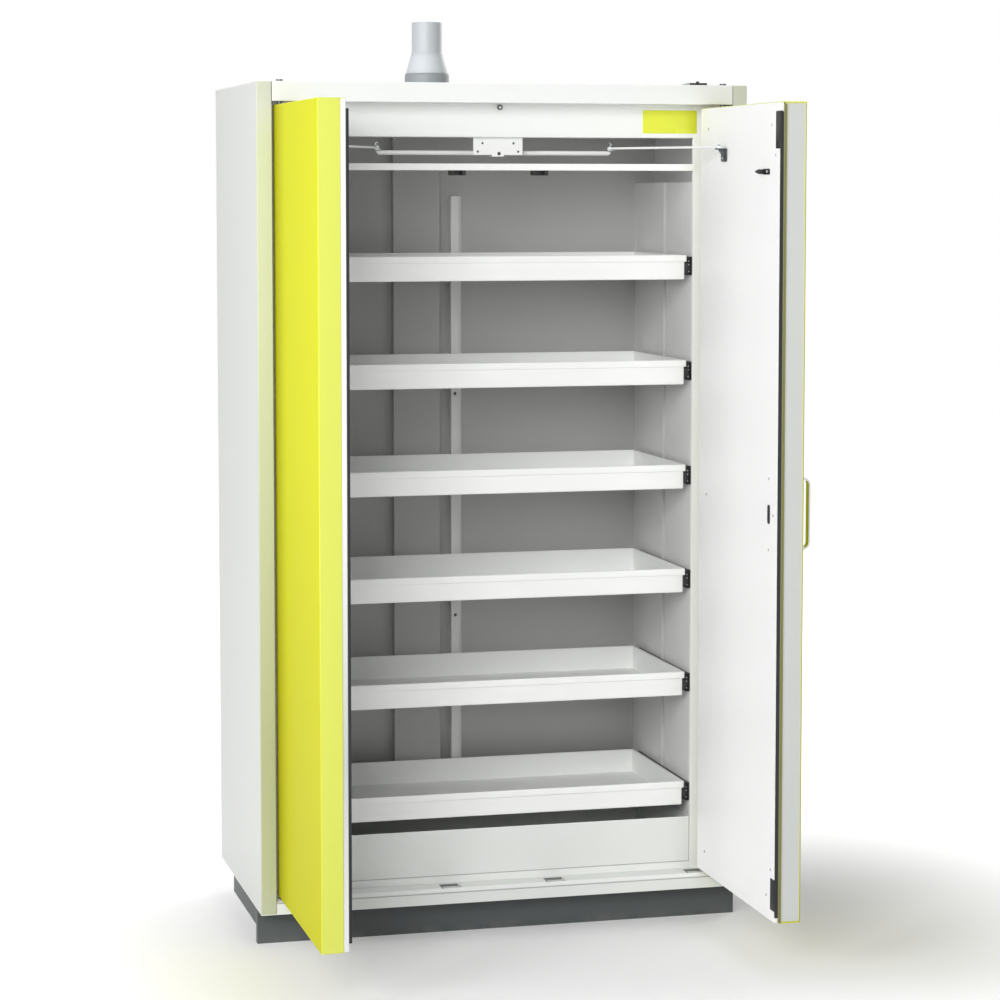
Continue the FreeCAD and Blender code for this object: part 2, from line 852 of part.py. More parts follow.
def hinge_pins():
    """Two capped pins through the roof and two collared pins that stand on the base."""
    pins = []
    upper_low = door_top - s.pin_reach
    upper = [
        (0.0, upper_low),
        (s.pin_radius, upper_low),
        (s.pin_radius, s.casing_top),
        (s.pin_cap_radius, s.casing_top),
        (s.pin_cap_radius, s.casing_top + s.pin_cap_height),
        (0.0, s.casing_top + s.pin_cap_height),
    ]
    collar_low = sill_z + s.pin_collar_lift
    collar_high = door_bottom - s.pin_collar_gap
    lower = [
        (0.0, low_z),
        (s.pin_radius, low_z),
        (s.pin_radius, collar_low),
        (s.pin_collar_radius, collar_low),
        (s.pin_collar_radius, collar_high),
        (s.pin_radius, collar_high),
        (s.pin_radius, door_bottom + s.pin_reach),
        (0.0, door_bottom + s.pin_reach),
    ]
    for hand, side in SIDES.items():
        for level, outline in (("upper", upper), ("lower", lower)):
            pin = turned(f"{side}_{level}_pin", outline)
            pins.append(place(pin, hand * pivot_x, pivot_y))
    keep(group("hinge_pins", pins), "hinge_pins")


# Each door is drawn with X along the door from its pivot to its free edge.
# Depth into the door runs along -Y on the right door and along +Y on the left one.

def into_door(hand, low, high):
    """Span along the door's Y between two depths, of which the inner side is the larger."""
    return (-high, -low) if hand > 0 else (low, high)


def depth_at(hand, depth):
    return -as_size(depth) if hand > 0 else as_size(depth)


def on_door(item, hand, label):
    """Puts a piece that is drawn in its door's own axes on the open door."""
    place(item, hand * pivot_x, pivot_y, 0.0, OPEN_ANGLE)
    return keep(item, label)


def door_shell(hand, side):
    """Folded steel tray of a door, with pin bores and, on the right, an open end frame."""
    z_span = (door_bottom, door_top)
    y_span = into_door(hand, outer_face, shell_back)
    middle = middle_of(z_span)
    outer_y = depth_at(hand, outer_face)
    solid = prism(side + "_shell_solid", "Z", rectangle((-s.pivot_inset, free_edge), y_span), *z_span)
    round_edges(solid, s.hinge_corner_radius, [(-s.pivot_inset, outer_y, middle)])
    round_edges(solid, s.door_edge_radius, [(free_edge, outer_y, middle)])
    pocket(solid, "Z", [(0.0, 0.0, bore_radius)], *z_span)
    if hand > 0:
        window_y = into_door(hand, outer_face + s.end_frame, shell_back - s.end_frame)
        window = rectangle(window_y, (door_bottom + s.end_frame, door_top - s.end_frame))
        pocket(solid, "X", window, free_edge - s.door_skin, free_edge)
        lock = [(handle_place, s.handle_middle, s.lock_radius + s.lock_fit)]
        pocket(solid, "Y", lock, *into_door(hand, outer_face, shell_back))

    x_span = (s.door_skin - s.pivot_inset, free_edge - s.door_skin)
    y_span = into_door(hand, outer_face + s.door_skin, shell_back + s.door_skin)
    z_span = (door_bottom + s.door_skin, door_top - s.door_skin)
    cavity = prism(side + "_shell_cavity", "Z", rectangle(x_span, y_span), *z_span)
    corner = (x_span[0], depth_at(hand, outer_face + s.door_skin), middle)
    round_edges(cavity, s.hinge_corner_radius - s.door_skin, [corner])
    on_door(difference(side + "_door_shell", solid, cavity), hand, side + "_door_shell")


def door_core(hand, side):
    """Insulating core that fills the shell."""
    margin = s.door_skin + s.fill_gap
    x_span = (margin - s.pivot_inset, free_edge - margin)
    z_span = (door_bottom + margin, door_top - margin)
    y_span = into_door(hand, outer_face + margin, shell_back)
    core = prism(side + "_door_core", "Z", rectangle(x_span, y_span), *z_span)
    corner = (x_span[0], depth_at(hand, outer_face + margin), middle_of(z_span))
    round_edges(core, s.hinge_corner_radius - margin, [corner])
    pocket(core, "Z", [(0.0, 0.0, s.pin_radius + s.pin_core_gap)], *z_span)
    if hand > 0:
        lock = [(handle_place, s.handle_middle, s.lock_radius + s.lock_core_gap)]
        pocket(core, "Y", lock, *y_span)
    on_door(core, hand, side + "_door_core")


def latch_spans():
    """Heights of the upper and the lower latch box."""
    upper = (s.top_latch_bottom, s.top_latch_bottom + s.top_latch_height)
    lower = (s.bottom_latch_bottom, s.bottom_latch_bottom + s.bottom_latch_height)
    return upper, lower


def door_panel(hand, side):
    """White inner panel; the right one ends in a seal and has two latch recesses."""
    end = free_edge - (s.seal_width if hand > 0 else s.panel_inset)
    x_span = (s.panel_inset - s.pivot_inset, end)
    z_span = (door_bottom + s.panel_inset, door_top - s.panel_inset)
    outline = rectangle(x_span, into_door(hand, shell_back, inner_face))
    panel = prism(side + "_door_panel", "Z", outline, *z_span)
    middle = middle_of(z_span)
    inner_y = depth_at(hand, inner_face)
    edges = [(x_span[0], inner_y, middle)]
    if hand < 0:
        edges.append((end, inner_y, middle))
    round_edges(panel, s.panel_edge_radius, edges)
    if hand > 0:
        recess_y = into_door(hand, inner_face - s.latch_depth, inner_face)
        for low, high in latch_spans():
            recess = rectangle((end - s.latch_width, end), (low, high))
            pocket(panel, "Y", recess, *recess_y)
    on_door(panel, hand, side + "_door_panel")


def door_edges():
    """Proud closing strip of the left door, and seal and latch boxes of the right door."""
    strip_end = free_edge - s.strip_edge_inset
    strip_x_span = (strip_end - s.strip_breadth, strip_end)
    strip_y = into_door(-1, inner_face, inner_face + s.strip_thickness)
    strip = prism("left_door_strip", "Z", rectangle(strip_x_span, strip_y), s.strip_bottom, s.strip_top)
    on_door(strip, -1, "left_door_strip")

    panel_end = free_edge - s.seal_width
    seal_y = into_door(1, inner_face - s.seal_depth, inner_face)
    outline = rectangle((panel_end, free_edge), seal_y)
    seal = prism("right_door_seal", "Z", outline, s.seal_bottom, s.strip_top)
    on_door(seal, 1, "right_door_seal")

    latches = []
    for low, high in latch_spans():
        x_span = (panel_end - s.latch_width + s.latch_gap, panel_end)
        y_span = into_door(1, inner_face - s.latch_depth, inner_face)
        outline = rectangle(x_span, y_span)
        latches.append(prism("latch_box", "Z", outline, low + s.latch_gap, high - s.latch_gap))
    on_door(group("right_door_latches", latches), 1, "right_door_latches")


def rod_bracket(hand, side):
    """Bracket with the pin on which the closer rod turns."""
    top = s.rod_level - s.eye_height / 2 - s.eye_gap
    arm_low = top - s.bracket_thickness
    plate_y = into_door(hand, inner_face, inner_face + s.bracket_thickness)
    plate_x = (s.bracket_start, s.bracket_start + s.bracket_breadth)
    body = prism(side + "_rod_bracket", "Z", rectangle(plate_x, plate_y), top - s.bracket_height, top)
    low_edge = [(plate_x[0], middle_of(plate_y), top - s.bracket_height),
                (plate_x[1], middle_of(plate_y), top - s.bracket_height)]
    round_edges(body, s.bracket_arm_margin, low_edge)
    arm_y = into_door(hand, inner_face, s.rod_door_depth + s.bracket_arm_margin)
    arm_x = (s.bracket_arm_start, s.rod_door_reach + s.bracket_arm_margin)
    pad(body, "Z", rectangle(arm_x, arm_y), arm_low, top)
    centre = (s.rod_door_reach, depth_at(hand, s.rod_door_depth))
    head_low = s.rod_level + s.eye_height / 2 + s.eye_gap
    pad(body, "Z", [(*centre, s.eye_pin_radius)], top, head_low)
    pad(body, "Z", [(*centre, s.eye_pin_head)], head_low, head_low + s.eye_pin_head_height)
    return body


def striker(hand, side):
    """Round-nosed striker pin on its base plate."""
    base_y = into_door(hand, inner_face, inner_face + s.striker_base_thickness)
    start = striker_place - s.striker_base_start
    reach = s.striker_base_height / 2
    outline = rectangle((start, start + s.striker_base_length), (striker_z - reach, striker_z + reach))
    body = prism(side + "_striker", "Y", outline, *base_y)
    tip = inner_face + s.striker_length
    pin_y = into_door(hand, inner_face + s.striker_base_thickness, tip)
    pad(body, "Y", [(striker_place, striker_z, s.striker_radius)], *pin_y)
    rim = (striker_place, depth_at(hand, tip), striker_z)
    return round_edges(body, s.striker_nose, [rim])


def lock_fixings():
    """Rose round the lock on the outer face and oval cover on the inner face."""
    rose_y = into_door(1, outer_face - s.lock_rose_height, outer_face)
    rose = prism("lock_rose", "Y", [(handle_place, s.handle_middle, s.lock_rose_radius)], *rose_y)
    bore = [(handle_place, s.handle_middle, s.lock_radius + s.lock_fit)]
    pocket(rose, "Y", bore, *rose_y)
    back_y = into_door(1, inner_face, inner_face + s.lock_back_depth)
    wide = s.lock_back_width / 2
    tall = s.lock_back_height / 2
    x_span = (handle_place - wide, handle_place + wide)
    z_span = (s.handle_middle - tall, s.handle_middle + tall)
    oval = prism("lock_back", "Y", rectangle(x_span, z_span), *back_y)
    middle = middle_of(back_y)
    round_edges(oval, s.lock_back_radius, [(x, middle, z) for x in x_span for z in z_span])
    return [rose, oval]


def door_fittings(hand, side):
    items = [rod_bracket(hand, side), striker(hand, side)]
    if hand > 0:
        items.extend(lock_fixings())
    on_door(group(side + "_door_fittings", items), hand, side + "_door_fittings")


def rounded_bow(name, reach, y_span, z_span, radius):
    """Block across the handle's width with its two outer corners rounded."""
    x_span = (handle_place - reach, handle_place + reach)
    block = prism(name, "X", rectangle(y_span, z_span), *x_span)
    return round_edges(block, radius, [(handle_place, y_span[1], level) for level in z_span])


def door_handle():
    """Flat bow handle with round shoulders."""
    reach = s.handle_width / 2
    tip = outer_face - s.handle_reach
    z_span = (s.handle_middle - s.handle_height / 2, s.handle_middle + s.handle_height / 2)
    outside = rounded_bow("handle_outside", reach, into_door(1, tip, outer_face), z_span, s.handle_radius)
    inside_y = into_door(1, tip + s.handle_thickness, outer_face + s.door_skin)
    inside_z = (z_span[0] + s.handle_thickness, z_span[1] - s.handle_thickness)
    inside_radius = s.handle_radius - s.handle_thickness
    inside = rounded_bow("handle_inside", s.handle_width, inside_y, inside_z, inside_radius)
    on_door(difference("door_handle", outside, inside), 1, "door_handle")


def lock_plug():
    """Round plug with a key slot; it turns in the rose and the door sheet."""
    face = outer_face - s.lock_proud
    y_span = into_door(1, face, face + s.lock_length)
    plug = prism("lock_plug", "Y", [(handle_place, s.handle_middle, s.lock_radius)], *y_span)
    wide = s.lock_slot_width / 2
    tall = s.lock_slot_length / 2
    slot_x = (handle_place - wide, handle_place + wide)
    slot = rectangle(slot_x, (s.handle_middle - tall, s.handle_middle + tall))
    pocket(plug, "Y", slot, *into_door(1, face, outer_face))
    on_door(plug, 1, "lock_plug")


def doors():
    for hand, side in SIDES.items():
        door_shell(hand, side)
        door_core(hand, side)
        door_panel(hand, side)
        door_fittings(hand, side)
    door_edges()
    door_handle()
    lock_plug()


def closer():
    """Self-closing gear: cover, block, guide tubes, carriages and rods."""
    plate_y = frame_y + s.cover_setback
    plate_low = header_z - s.cover_height
    wide = s.cover_half_width
    tab = s.tab_half_width
    outline = [
        (-wide, header_z),
        (wide, header_z),
        (wide, plate_low),
        (tab, plate_low),
        (tab, plate_low - s.tab_drop),
        (-tab, plate_low - s.tab_drop),
        (-tab, plate_low),
        (-wide, plate_low),
    ]
    cover = prism("closer_cover", "Y", outline, plate_y, plate_y + s.sheet)
    fold = rectangle(both_ways(wide), (plate_y + s.sheet, plate_y + s.cover_fold))
    keep(pad(cover, "Z", fold, header_z - s.sheet, header_z), "closer_cover")

    block_y = (closer_y - s.block_front, closer_y + s.block_rear)
    block_z = (s.closer_level - s.block_drop, header_z - s.sheet)
    pieces = [box("guide_block", both_ways(s.block_half_width), block_y, block_z)]
    for hand, side in SIDES.items():
        span = across(hand, s.block_half_width, s.tube_end)
        tube = prism(side + "_guide_tube", "X", [(closer_y, s.closer_level, s.tube_radius)], *span)
        pieces.append(pocket(tube, "X", [(closer_y, s.closer_level, s.tube_bore)], *span))
        closer_rod(hand, side)
        closer_carriage(hand, side)
    keep(group("closer_guide", pieces), "closer_guide")


def closer_rod(hand, side):
    """Rod with an eye at each end, from the door's pin to the carriage's pin."""
    run = s.carriage_place - (pivot_x - s.rod_door_depth)
    rise = closer_y - (pivot_y - s.rod_door_reach)
    length = root_of(run * run + rise * rise)
    half_eye = s.eye_height / 2
    inset = s.eye_radius / 2
    rod = prism(side + "_closer_rod", "X", [(0.0, 0.0, s.rod_radius)], inset, length - inset)
    for end in (as_size(0.0), length):
        pad(rod, "Z", [(end, 0.0, s.eye_radius)], -half_eye, half_eye)
    bores = [(end, 0.0, s.eye_pin_radius + s.eye_pin_fit) for end in (as_size(0.0), length)]
    pocket(rod, "Z", bores, -half_eye, half_eye)
    door_pin_x = hand * (pivot_x - s.rod_door_depth)
    place(rod, door_pin_x, pivot_y - s.rod_door_reach, s.rod_level, direction_of(rise, hand * run))
    keep(rod, side + "_closer_rod")


def closer_carriage(hand, side):
    """Saddle that runs above the guide tube and carries the rod's eye on its pin."""
    saddle_top = -s.eye_height / 2 - s.eye_gap
    saddle_low = s.closer_level + s.tube_radius + s.saddle_gap - s.rod_level
    outline = rectangle(both_ways(s.saddle_length / 2), both_ways(s.saddle_width / 2))
    carriage = prism(side + "_closer_carriage", "Z", outline, saddle_low, saddle_top)
    head_low = -saddle_top
    pad(carriage, "Z", [(0.0, 0.0, s.eye_pin_radius)], saddle_top, head_low)
    pad(carriage, "Z", [(0.0, 0.0, s.eye_pin_head)], head_low, head_low + s.eye_pin_head_height)
    place(carriage, hand * s.carriage_place, closer_y, s.rod_level)
    keep(carriage, side + "_closer_carriage")


# Telescopic slides: from the wall inwards an outer, a middle and an inner member.
inner_depth = back_y - frame_y
slide_y = (s.tray_setback + s.slide_setback, inner_depth - s.slide_back_gap)
outer_half = s.slide_height / 2
middle_half = outer_half - s.slide_sheet - s.slide_race_gap
inner_half = middle_half - s.slide_sheet - s.slide_race_gap
middle_back = opening_x - s.slide_sheet - s.slide_web_gap
tray_half = opening_x - s.slide_space
tray_side = tray_half - s.tray_rim_step
inner_web = tray_half + s.slide_tray_gap


def tray_level(number):
    """Height of the rim of a tray, counted from the top one."""
    if number == TRAY_COUNT:
        return s.lowest_tray_level
    return s.tray_top_level - (number - 1) * s.tray_pitch


def open_section(back, lip, half_height):
    """C-shaped section with its web at the back and its lips towards the tray."""
    return [
        (back, -half_height),
        (back - lip, -half_height),
        (back - lip, s.slide_sheet - half_height),
        (back - s.slide_sheet, s.slide_sheet - half_height),
        (back - s.slide_sheet, half_height - s.slide_sheet),
        (back - lip, half_height - s.slide_sheet),
        (back - lip, half_height),
        (back, half_height),
    ]


def inner_section():
    """Section of the inner member with the spacer that holds it off the tray's side."""
    lip_end = inner_web + s.slide_inner_lip
    return [
        (tray_side, -inner_half),
        (lip_end, -inner_half),
        (lip_end, s.slide_sheet - inner_half),
        (inner_web + s.slide_sheet, s.slide_sheet - inner_half),
        (inner_web + s.slide_sheet, inner_half - s.slide_sheet),
        (lip_end, inner_half - s.slide_sheet),
        (lip_end, inner_half),
        (inner_web, inner_half),
        (inner_web, s.slide_spacer_height - inner_half),
        (tray_side, s.slide_spacer_height - inner_half),
    ]


def slide_pair(name, section, number):
    """Left and right member with one section, at the height of a tray."""
    level = tray_level(number) - s.slide_drop
    pair = []
    for hand, side in SIDES.items():
        member = prism(f"{side}_{name}_{number}", "Y", mirrored(section, hand), *slide_y)
        pair.append(place(member, 0.0, frame_y, level))
    return pair


def tray_pan(number):
    """Shallow pan with a broader rim."""
    step = s.tray_rim_step
    rim_y = (s.tray_setback, inner_depth - s.tray_back_gap)
    pan_y = (rim_y[0] + step, rim_y[1] - step)
    inside = step + s.tray_sheet
    inside_y = (rim_y[0] + inside, rim_y[1] - inside)
    outline = rectangle(both_ways(tray_side), pan_y)
    pan = prism(f"tray_pan_{number}", "Z", outline, -s.tray_height, as_size(0.0))
    pad(pan, "Z", rectangle(both_ways(tray_half), rim_y), -s.tray_rim_height, as_size(0.0))
    hollow = rectangle(both_ways(tray_half - inside), inside_y)
    pocket(pan, "Z", hollow, s.tray_sheet - s.tray_height, as_size(0.0))
    rim_middle = -s.tray_rim_height / 2
    corners = [(hand * tray_half, y, rim_middle) for hand in SIDES for y in rim_y]
    round_edges(pan, s.tray_corner_radius, corners)
    return place(pan, 0.0, frame_y, tray_level(number))


def trays_and_slides():
    outer_members = []
    for number in range(1, TRAY_COUNT + 1):
        members = slide_pair("inner_member", inner_section(), number)
        keep(group(f"tray_{number}", [tray_pan(number), *members]), f"tray_{number}")
        section = open_section(middle_back, s.slide_middle_lip, middle_half)
        members = slide_pair("middle_member", section, number)
        keep(group(f"slide_middle_{number}", members), f"slide_middle_{number}")
        section = open_section(opening_x, s.slide_lip, outer_half)
        outer_members.extend(slide_pair("outer_member", section, number))
    keep(group("slide_outer_members", outer_members), "slide_outer_members")


def sump_tray():
    """Deep collecting pan that lies on the floor lining."""
    side = opening_x - s.sump_gap
    y_span = (frame_y + s.tray_setback, back_y - s.sump_back_gap)
    top = floor_z + s.sump_height
    sump = prism("sump_tray", "Z", rectangle(both_ways(side), y_span), floor_z, top)
    inside_y = (y_span[0] + s.sump_sheet, y_span[1] - s.sump_sheet)
    hollow = rectangle(both_ways(side - s.sump_sheet), inside_y)
    keep(pocket(sump, "Z", hollow, floor_z + s.sump_sheet, top), "sump_tray")


def check_model():
    """Stops if a feature failed, a cut removed nothing or a sub-part isn't a sound solid."""
    faults = [item.Name for item in doc.Objects if "Invalid" in item.State or "Error" in item.State]
    for base, feature in cuts:
        if feature.Shape.Volume >= base.Shape.Volume - 0.01:
            faults.append(feature.Name)
    for item in parts:
        shape = item.Shape
        if shape.isNull() or not shape.isValid() or not shape.Solids:
            faults.append(item.Label)
    if faults:
        raise RuntimeError("faulty: " + ", ".join(faults))


def write_parts():
    os.makedirs("parts", exist_ok=True)
    for item in parts:
        item.Shape.exportStep(f"parts/{item.Label}.step")
    print(len(parts), "sub-parts written")


outer_sheets()
front_fascia()
insulation_boards()
frame_sheets()
threshold()
linings()
duct_and_upright()
rail_and_catches()
plinth()
spigot()
earth_terminal()
hinge_pins()
doors()
closer()
trays_and_slides()
sump_tray()
doc.recompute()
check_model()
write_parts()
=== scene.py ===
"""Finishes, folded sheets, fittings, light and camera of a safety cabinet for flammable liquids.

Shapes are worked out in millimetres and become metres in the meshes. A number across the cabinet
that comes with a hand is given for the right-hand side and mirrored for the left-hand one.
"""
import json
import math

import bmesh
import bpy
import numpy as np
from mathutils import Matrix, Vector

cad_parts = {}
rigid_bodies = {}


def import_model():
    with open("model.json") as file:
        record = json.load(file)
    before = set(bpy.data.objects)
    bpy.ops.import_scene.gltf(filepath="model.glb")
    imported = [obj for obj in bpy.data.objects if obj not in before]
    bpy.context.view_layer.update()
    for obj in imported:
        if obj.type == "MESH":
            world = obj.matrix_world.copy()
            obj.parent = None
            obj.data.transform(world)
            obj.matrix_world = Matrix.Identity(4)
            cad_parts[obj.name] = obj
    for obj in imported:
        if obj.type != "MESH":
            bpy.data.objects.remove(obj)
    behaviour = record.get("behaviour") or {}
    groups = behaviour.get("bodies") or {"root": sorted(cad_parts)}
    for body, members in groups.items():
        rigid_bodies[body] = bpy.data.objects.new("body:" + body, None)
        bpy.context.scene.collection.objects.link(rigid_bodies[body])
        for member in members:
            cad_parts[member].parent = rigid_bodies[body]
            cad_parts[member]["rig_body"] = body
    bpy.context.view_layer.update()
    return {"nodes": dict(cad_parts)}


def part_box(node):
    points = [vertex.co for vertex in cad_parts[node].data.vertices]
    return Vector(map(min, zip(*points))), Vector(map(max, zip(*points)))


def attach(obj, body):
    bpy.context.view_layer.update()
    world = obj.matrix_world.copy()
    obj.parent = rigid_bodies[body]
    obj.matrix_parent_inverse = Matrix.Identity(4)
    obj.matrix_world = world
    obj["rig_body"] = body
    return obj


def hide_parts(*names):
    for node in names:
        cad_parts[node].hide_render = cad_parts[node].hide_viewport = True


METRE = 0.001
HANDS = ((1, "right"), (-1, "left"))
INWARD = {1: "-x", -1: "+x"}

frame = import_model()
nodes = frame["nodes"]


# Shapes: each is a pair of an array of points and a list of faces.

TINY = 1e-9
SHARPEST = 0.999999
ARC_SHARE = 0.48
OFF_AXIS = 0.1


def span(node):
    """Lowest and highest corner of a CAD node in millimetres."""
    return tuple(np.array(corner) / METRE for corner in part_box(node))


def circle(count):
    """Points at even turns on a circle with a radius of one."""
    turn = np.linspace(0, 2 * math.pi, count, endpoint=False)
    return np.stack([np.cos(turn), np.sin(turn)], -1)


def soften(corners, radii, steps=4, closed=True):
    """Outline with round corners: each corner becomes the arc that touches both of its sides.

    The arc's centre lies on the corner's bisector, one radius from each side.
    """
    corners = np.asarray(corners, float)
    back = np.roll(corners, 1, 0) - corners
    ahead = np.roll(corners, -1, 0) - corners
    back_length = np.linalg.norm(back, axis=1)
    ahead_length = np.linalg.norm(ahead, axis=1)
    back = back / back_length[:, None]
    ahead = ahead / ahead_length[:, None]
    half = np.arccos(np.clip((back * ahead).sum(1), -1.0, SHARPEST)) / 2
    room = ARC_SHARE * np.minimum(back_length, ahead_length)
    reach = np.minimum(np.broadcast_to(radii, half.shape) / np.tan(half), room)
    middle = back + ahead
    middle = middle / np.maximum(np.linalg.norm(middle, axis=1), TINY)[:, None]
    centre = corners + middle * (reach / np.cos(half))[:, None]
    first = (corners + back * reach[:, None] - centre)[:, None]
    last = (corners + ahead * reach[:, None] - centre)[:, None]
    turn = (math.pi - 2 * half)[:, None]
    part = np.linspace(0, 1, steps + 1)[None]
    weights = np.stack([np.sin((1 - part) * turn), np.sin(part * turn)]) / np.sin(turn)
    arcs = centre[:, None] + weights[0][..., None] * first + weights[1][..., None] * last
    if closed:
        return arcs.reshape(-1, 2)
    return np.concatenate([corners[:1], arcs[1:-1].reshape(-1, 2), corners[-1:]])


def rectangle_rings(half_x, half_y, radius, steps=6):
    """Rectangles with round corners: a corner is its centre plus a quarter turn of its radius."""
    half_x, half_y, radius = np.broadcast_arrays(half_x, half_y, radius)
    turn = np.radians(np.arange(4)[:, None] * 90 + np.linspace(0, 90, steps + 1))
    sign_x = np.array([1, -1, -1, 1])[:, None]
    sign_y = np.array([1, 1, -1, -1])[:, None]
    radius = np.reshape(radius, (-1, 1, 1))
    x = sign_x * (np.reshape(half_x, (-1, 1, 1)) - radius) + radius * np.cos(turn)
    y = sign_y * (np.reshape(half_y, (-1, 1, 1)) - radius) + radius * np.sin(turn)
    return np.stack([x, y], -1).reshape(len(radius), -1, 2)


def signed_volume(points, triangles):
    """A sixth of the sum of the triple products of the triangles' corners."""
    a, b, c = points[triangles].transpose(1, 0, 2)
    return (np.cross(a, b) * c).sum() / 6


def skin(loops, ring=False):
    """Closed surface through a stack of closed loops, capped at both ends unless it is a ring."""
    rows, columns = loops.shape[:2]
    points = loops.reshape(-1, 3)
    index = np.arange(rows * columns).reshape(rows, columns)
    following = np.roll(index, -1, 0) if ring else index[1:]
    lower = index if ring else index[:-1]
    quads = np.stack([lower, np.roll(lower, -1, 1), np.roll(following, -1, 1), following], -1)
    quads = quads.reshape(-1, 4)
    triangles = np.concatenate([quads[:, [0, 1, 2]], quads[:, [0, 2, 3]]])
    faces = quads.tolist()
    if not ring:
        for cap in (index[0][::-1], index[-1]):
            fan = np.stack([np.full(columns - 2, cap[0]), cap[1:-1], cap[2:]], -1)
            triangles = np.concatenate([triangles, fan])
            faces.append(cap.tolist())
    if signed_volume(points, triangles) < 0:
        faces = [face[::-1] for face in faces]
    return points, faces


PLACES = {"x": [1, 2, 0], "y": [0, 2, 1], "z": [0, 1, 2]}


def set_out(flat, levels, axis):
    """Flat points and their levels along an axis, in the order x, y, z."""
    points = np.concatenate([flat, np.broadcast_to(levels, flat.shape[:-1])[..., None]], -1)
    out = np.empty_like(points)
    out[..., PLACES[axis]] = points
    return out


def outline_normals(outline):
    """Outward unit normals: the chord between a point's neighbours, turned by a right angle."""
    chord = np.roll(outline, -1, 0) - np.roll(outline, 1, 0)
    normal = np.stack([chord[:, 1], -chord[:, 0]], -1)
    normal = normal / np.maximum(np.linalg.norm(normal, axis=1), TINY)[:, None]
    x, y = outline.T
    area = (x * np.roll(y, -1) - np.roll(x, -1) * y).sum()
    return normal if area > 0 else -normal


def bar(outline, low, high, axis, edge=0.4, steps=3):
    """Outline carried along an axis, from a low level to a high one.

    Near each end it shrinks by a quarter circle of the edge radius.
    """
    quarter = np.linspace(0, math.pi / 2, steps + 1)
    shrink = edge * (1 - np.sin(quarter))
    rise = edge * (1 - np.cos(quarter))
    inset = np.concatenate([shrink, shrink[::-1]])
    level = np.concatenate([low + rise, high - rise[::-1]])
    flat = outline[None] - inset[:, None, None] * outline_normals(outline)[None]
    return skin(set_out(flat, level[:, None], axis))


def slab(low, high, axis, corner, edge, steps=4):
    """Plate with rounded corners and rolled edges between two corners of its box."""
    low, high = np.asarray(low, float), np.asarray(high, float)
    first, second, along = PLACES[axis]
    half = (high - low) / 2
    middle = (high + low) / 2
    outline = rectangle_rings(half[first], half[second], corner, steps)[0]
    outline = outline + middle[[first, second]]
    return bar(outline, low[along], high[along], axis, edge)


def across(hand, first, second):
    """Ends of a span across the cabinet, lower one first."""
    return sorted((hand * first, hand * second))


def handed_slab(hand, x, y, z, axis, corner, edge):
    """Slab between spans along x, y and z, for the right or the left hand."""
    low, high = zip(across(hand, *x), y, z)
    return slab(low, high, axis, corner, edge)


def turned(profile, centre, axis, segments, ring=False):
    """Profile of radius and level turned about an axis through the centre."""
    flat = profile[:, 0, None, None] * circle(segments)[None]
    points, faces = skin(set_out(flat, profile[:, 1, None], axis), ring)
    return points + np.asarray(centre, float), faces


def swept(path, section):
    """Section carried along a path in an upright plane across the cabinet.

    A point is the path's point, plus the section's first number on the path's normal and its
    second number along y.
    """
    side = np.array([0.0, 1.0, 0.0])
    run = np.gradient(path, axis=0)
    run = run / np.linalg.norm(run, axis=1)[:, None]
    normal = np.cross(side, run)
    return skin(path[:, None] + section[None, :, :1] * normal[:, None] + section[None, :, 1:] * side)


def joined(shapes):
    """One shape out of several, their faces counted on."""
    faces = []
    start = 0
    for points, own_faces in shapes:
        faces += [[start + corner for corner in face] for face in own_faces]
        start += len(points)
    return np.concatenate([points for points, own_faces in shapes]), faces


FACING = {
    "+z": [[1, 0, 0], [0, 1, 0], [0, 0, 1]],
    "-y": [[1, 0, 0], [0, 0, 1], [0, -1, 0]],
    "+y": [[-1, 0, 0], [0, 0, 1], [0, 1, 0]],
    "-x": [[0, -1, 0], [0, 0, 1], [-1, 0, 0]],
    "+x": [[0, 1, 0], [0, 0, 1], [1, 0, 0]],
}


def repeated(shape, places, facing="+z"):
    """Copies of a shape drawn upright at the origin, turned to face a way and set at places."""
    points, faces = shape
    faced = points @ np.array(FACING[facing], float)
    return joined([(faced + place, faces) for place in np.asarray(places, float)])


HEAD_SINK = 0.3
HEAD_FALL = 0.55
RECESS_DEPTH = 0.55
ARM_HALF = 0.16
ARM_SLOPE = 0.06
ARM_REACH = 0.55
ARM_FADE = 0.12
HOLE_LEVEL = 0.35


def hoop(outline, radii, centre, axis="z", segments=96, steps=4):
    """Ring turned about an axis, its outline of radius and level rounded at each corner."""
    return turned(soften(outline, radii, steps), centre, axis, segments, ring=True)


def spindle(outline, radii, centre, axis="z", way=1, segments=28, steps=4):
    """Solid turned about an axis, its outline of radius and level closed to the axis at both ends."""
    foot, top = ((OFF_AXIS, level) for radius, level in (outline[0], outline[-1]))
    profile = soften([foot, *outline, top], [0, *radii, 0], steps, closed=False)
    return turned(profile * (1, way), centre, axis, segments)


def screw(radius, height):
    """Pan head with a cross recess on a polar grid, its foot a little below the level nought.

    Its height falls with the fourth power of the radius, less a cross whose arms fade at their ends.
    """
    part = np.array([0.04, 0.16, 0.3, 0.42, 0.54, 0.66, 0.8, 0.92, 1.0, 1.0])
    x, y = part[None, :, None] * circle(24).T[:, None]
    rise = height * (1 - HEAD_FALL * part[:, None] ** 4) * np.ones_like(x)
    arm = np.clip((ARM_HALF - np.minimum(abs(x), abs(y))) / ARM_SLOPE, 0, 1)
    fade = np.clip((ARM_REACH - np.maximum(abs(x), abs(y))) / ARM_FADE, 0, 1)
    rise = rise - RECESS_DEPTH * height * arm * fade
    rise[-1] = -HEAD_SINK
    return skin(np.stack([x * radius, y * radius, rise], -1))


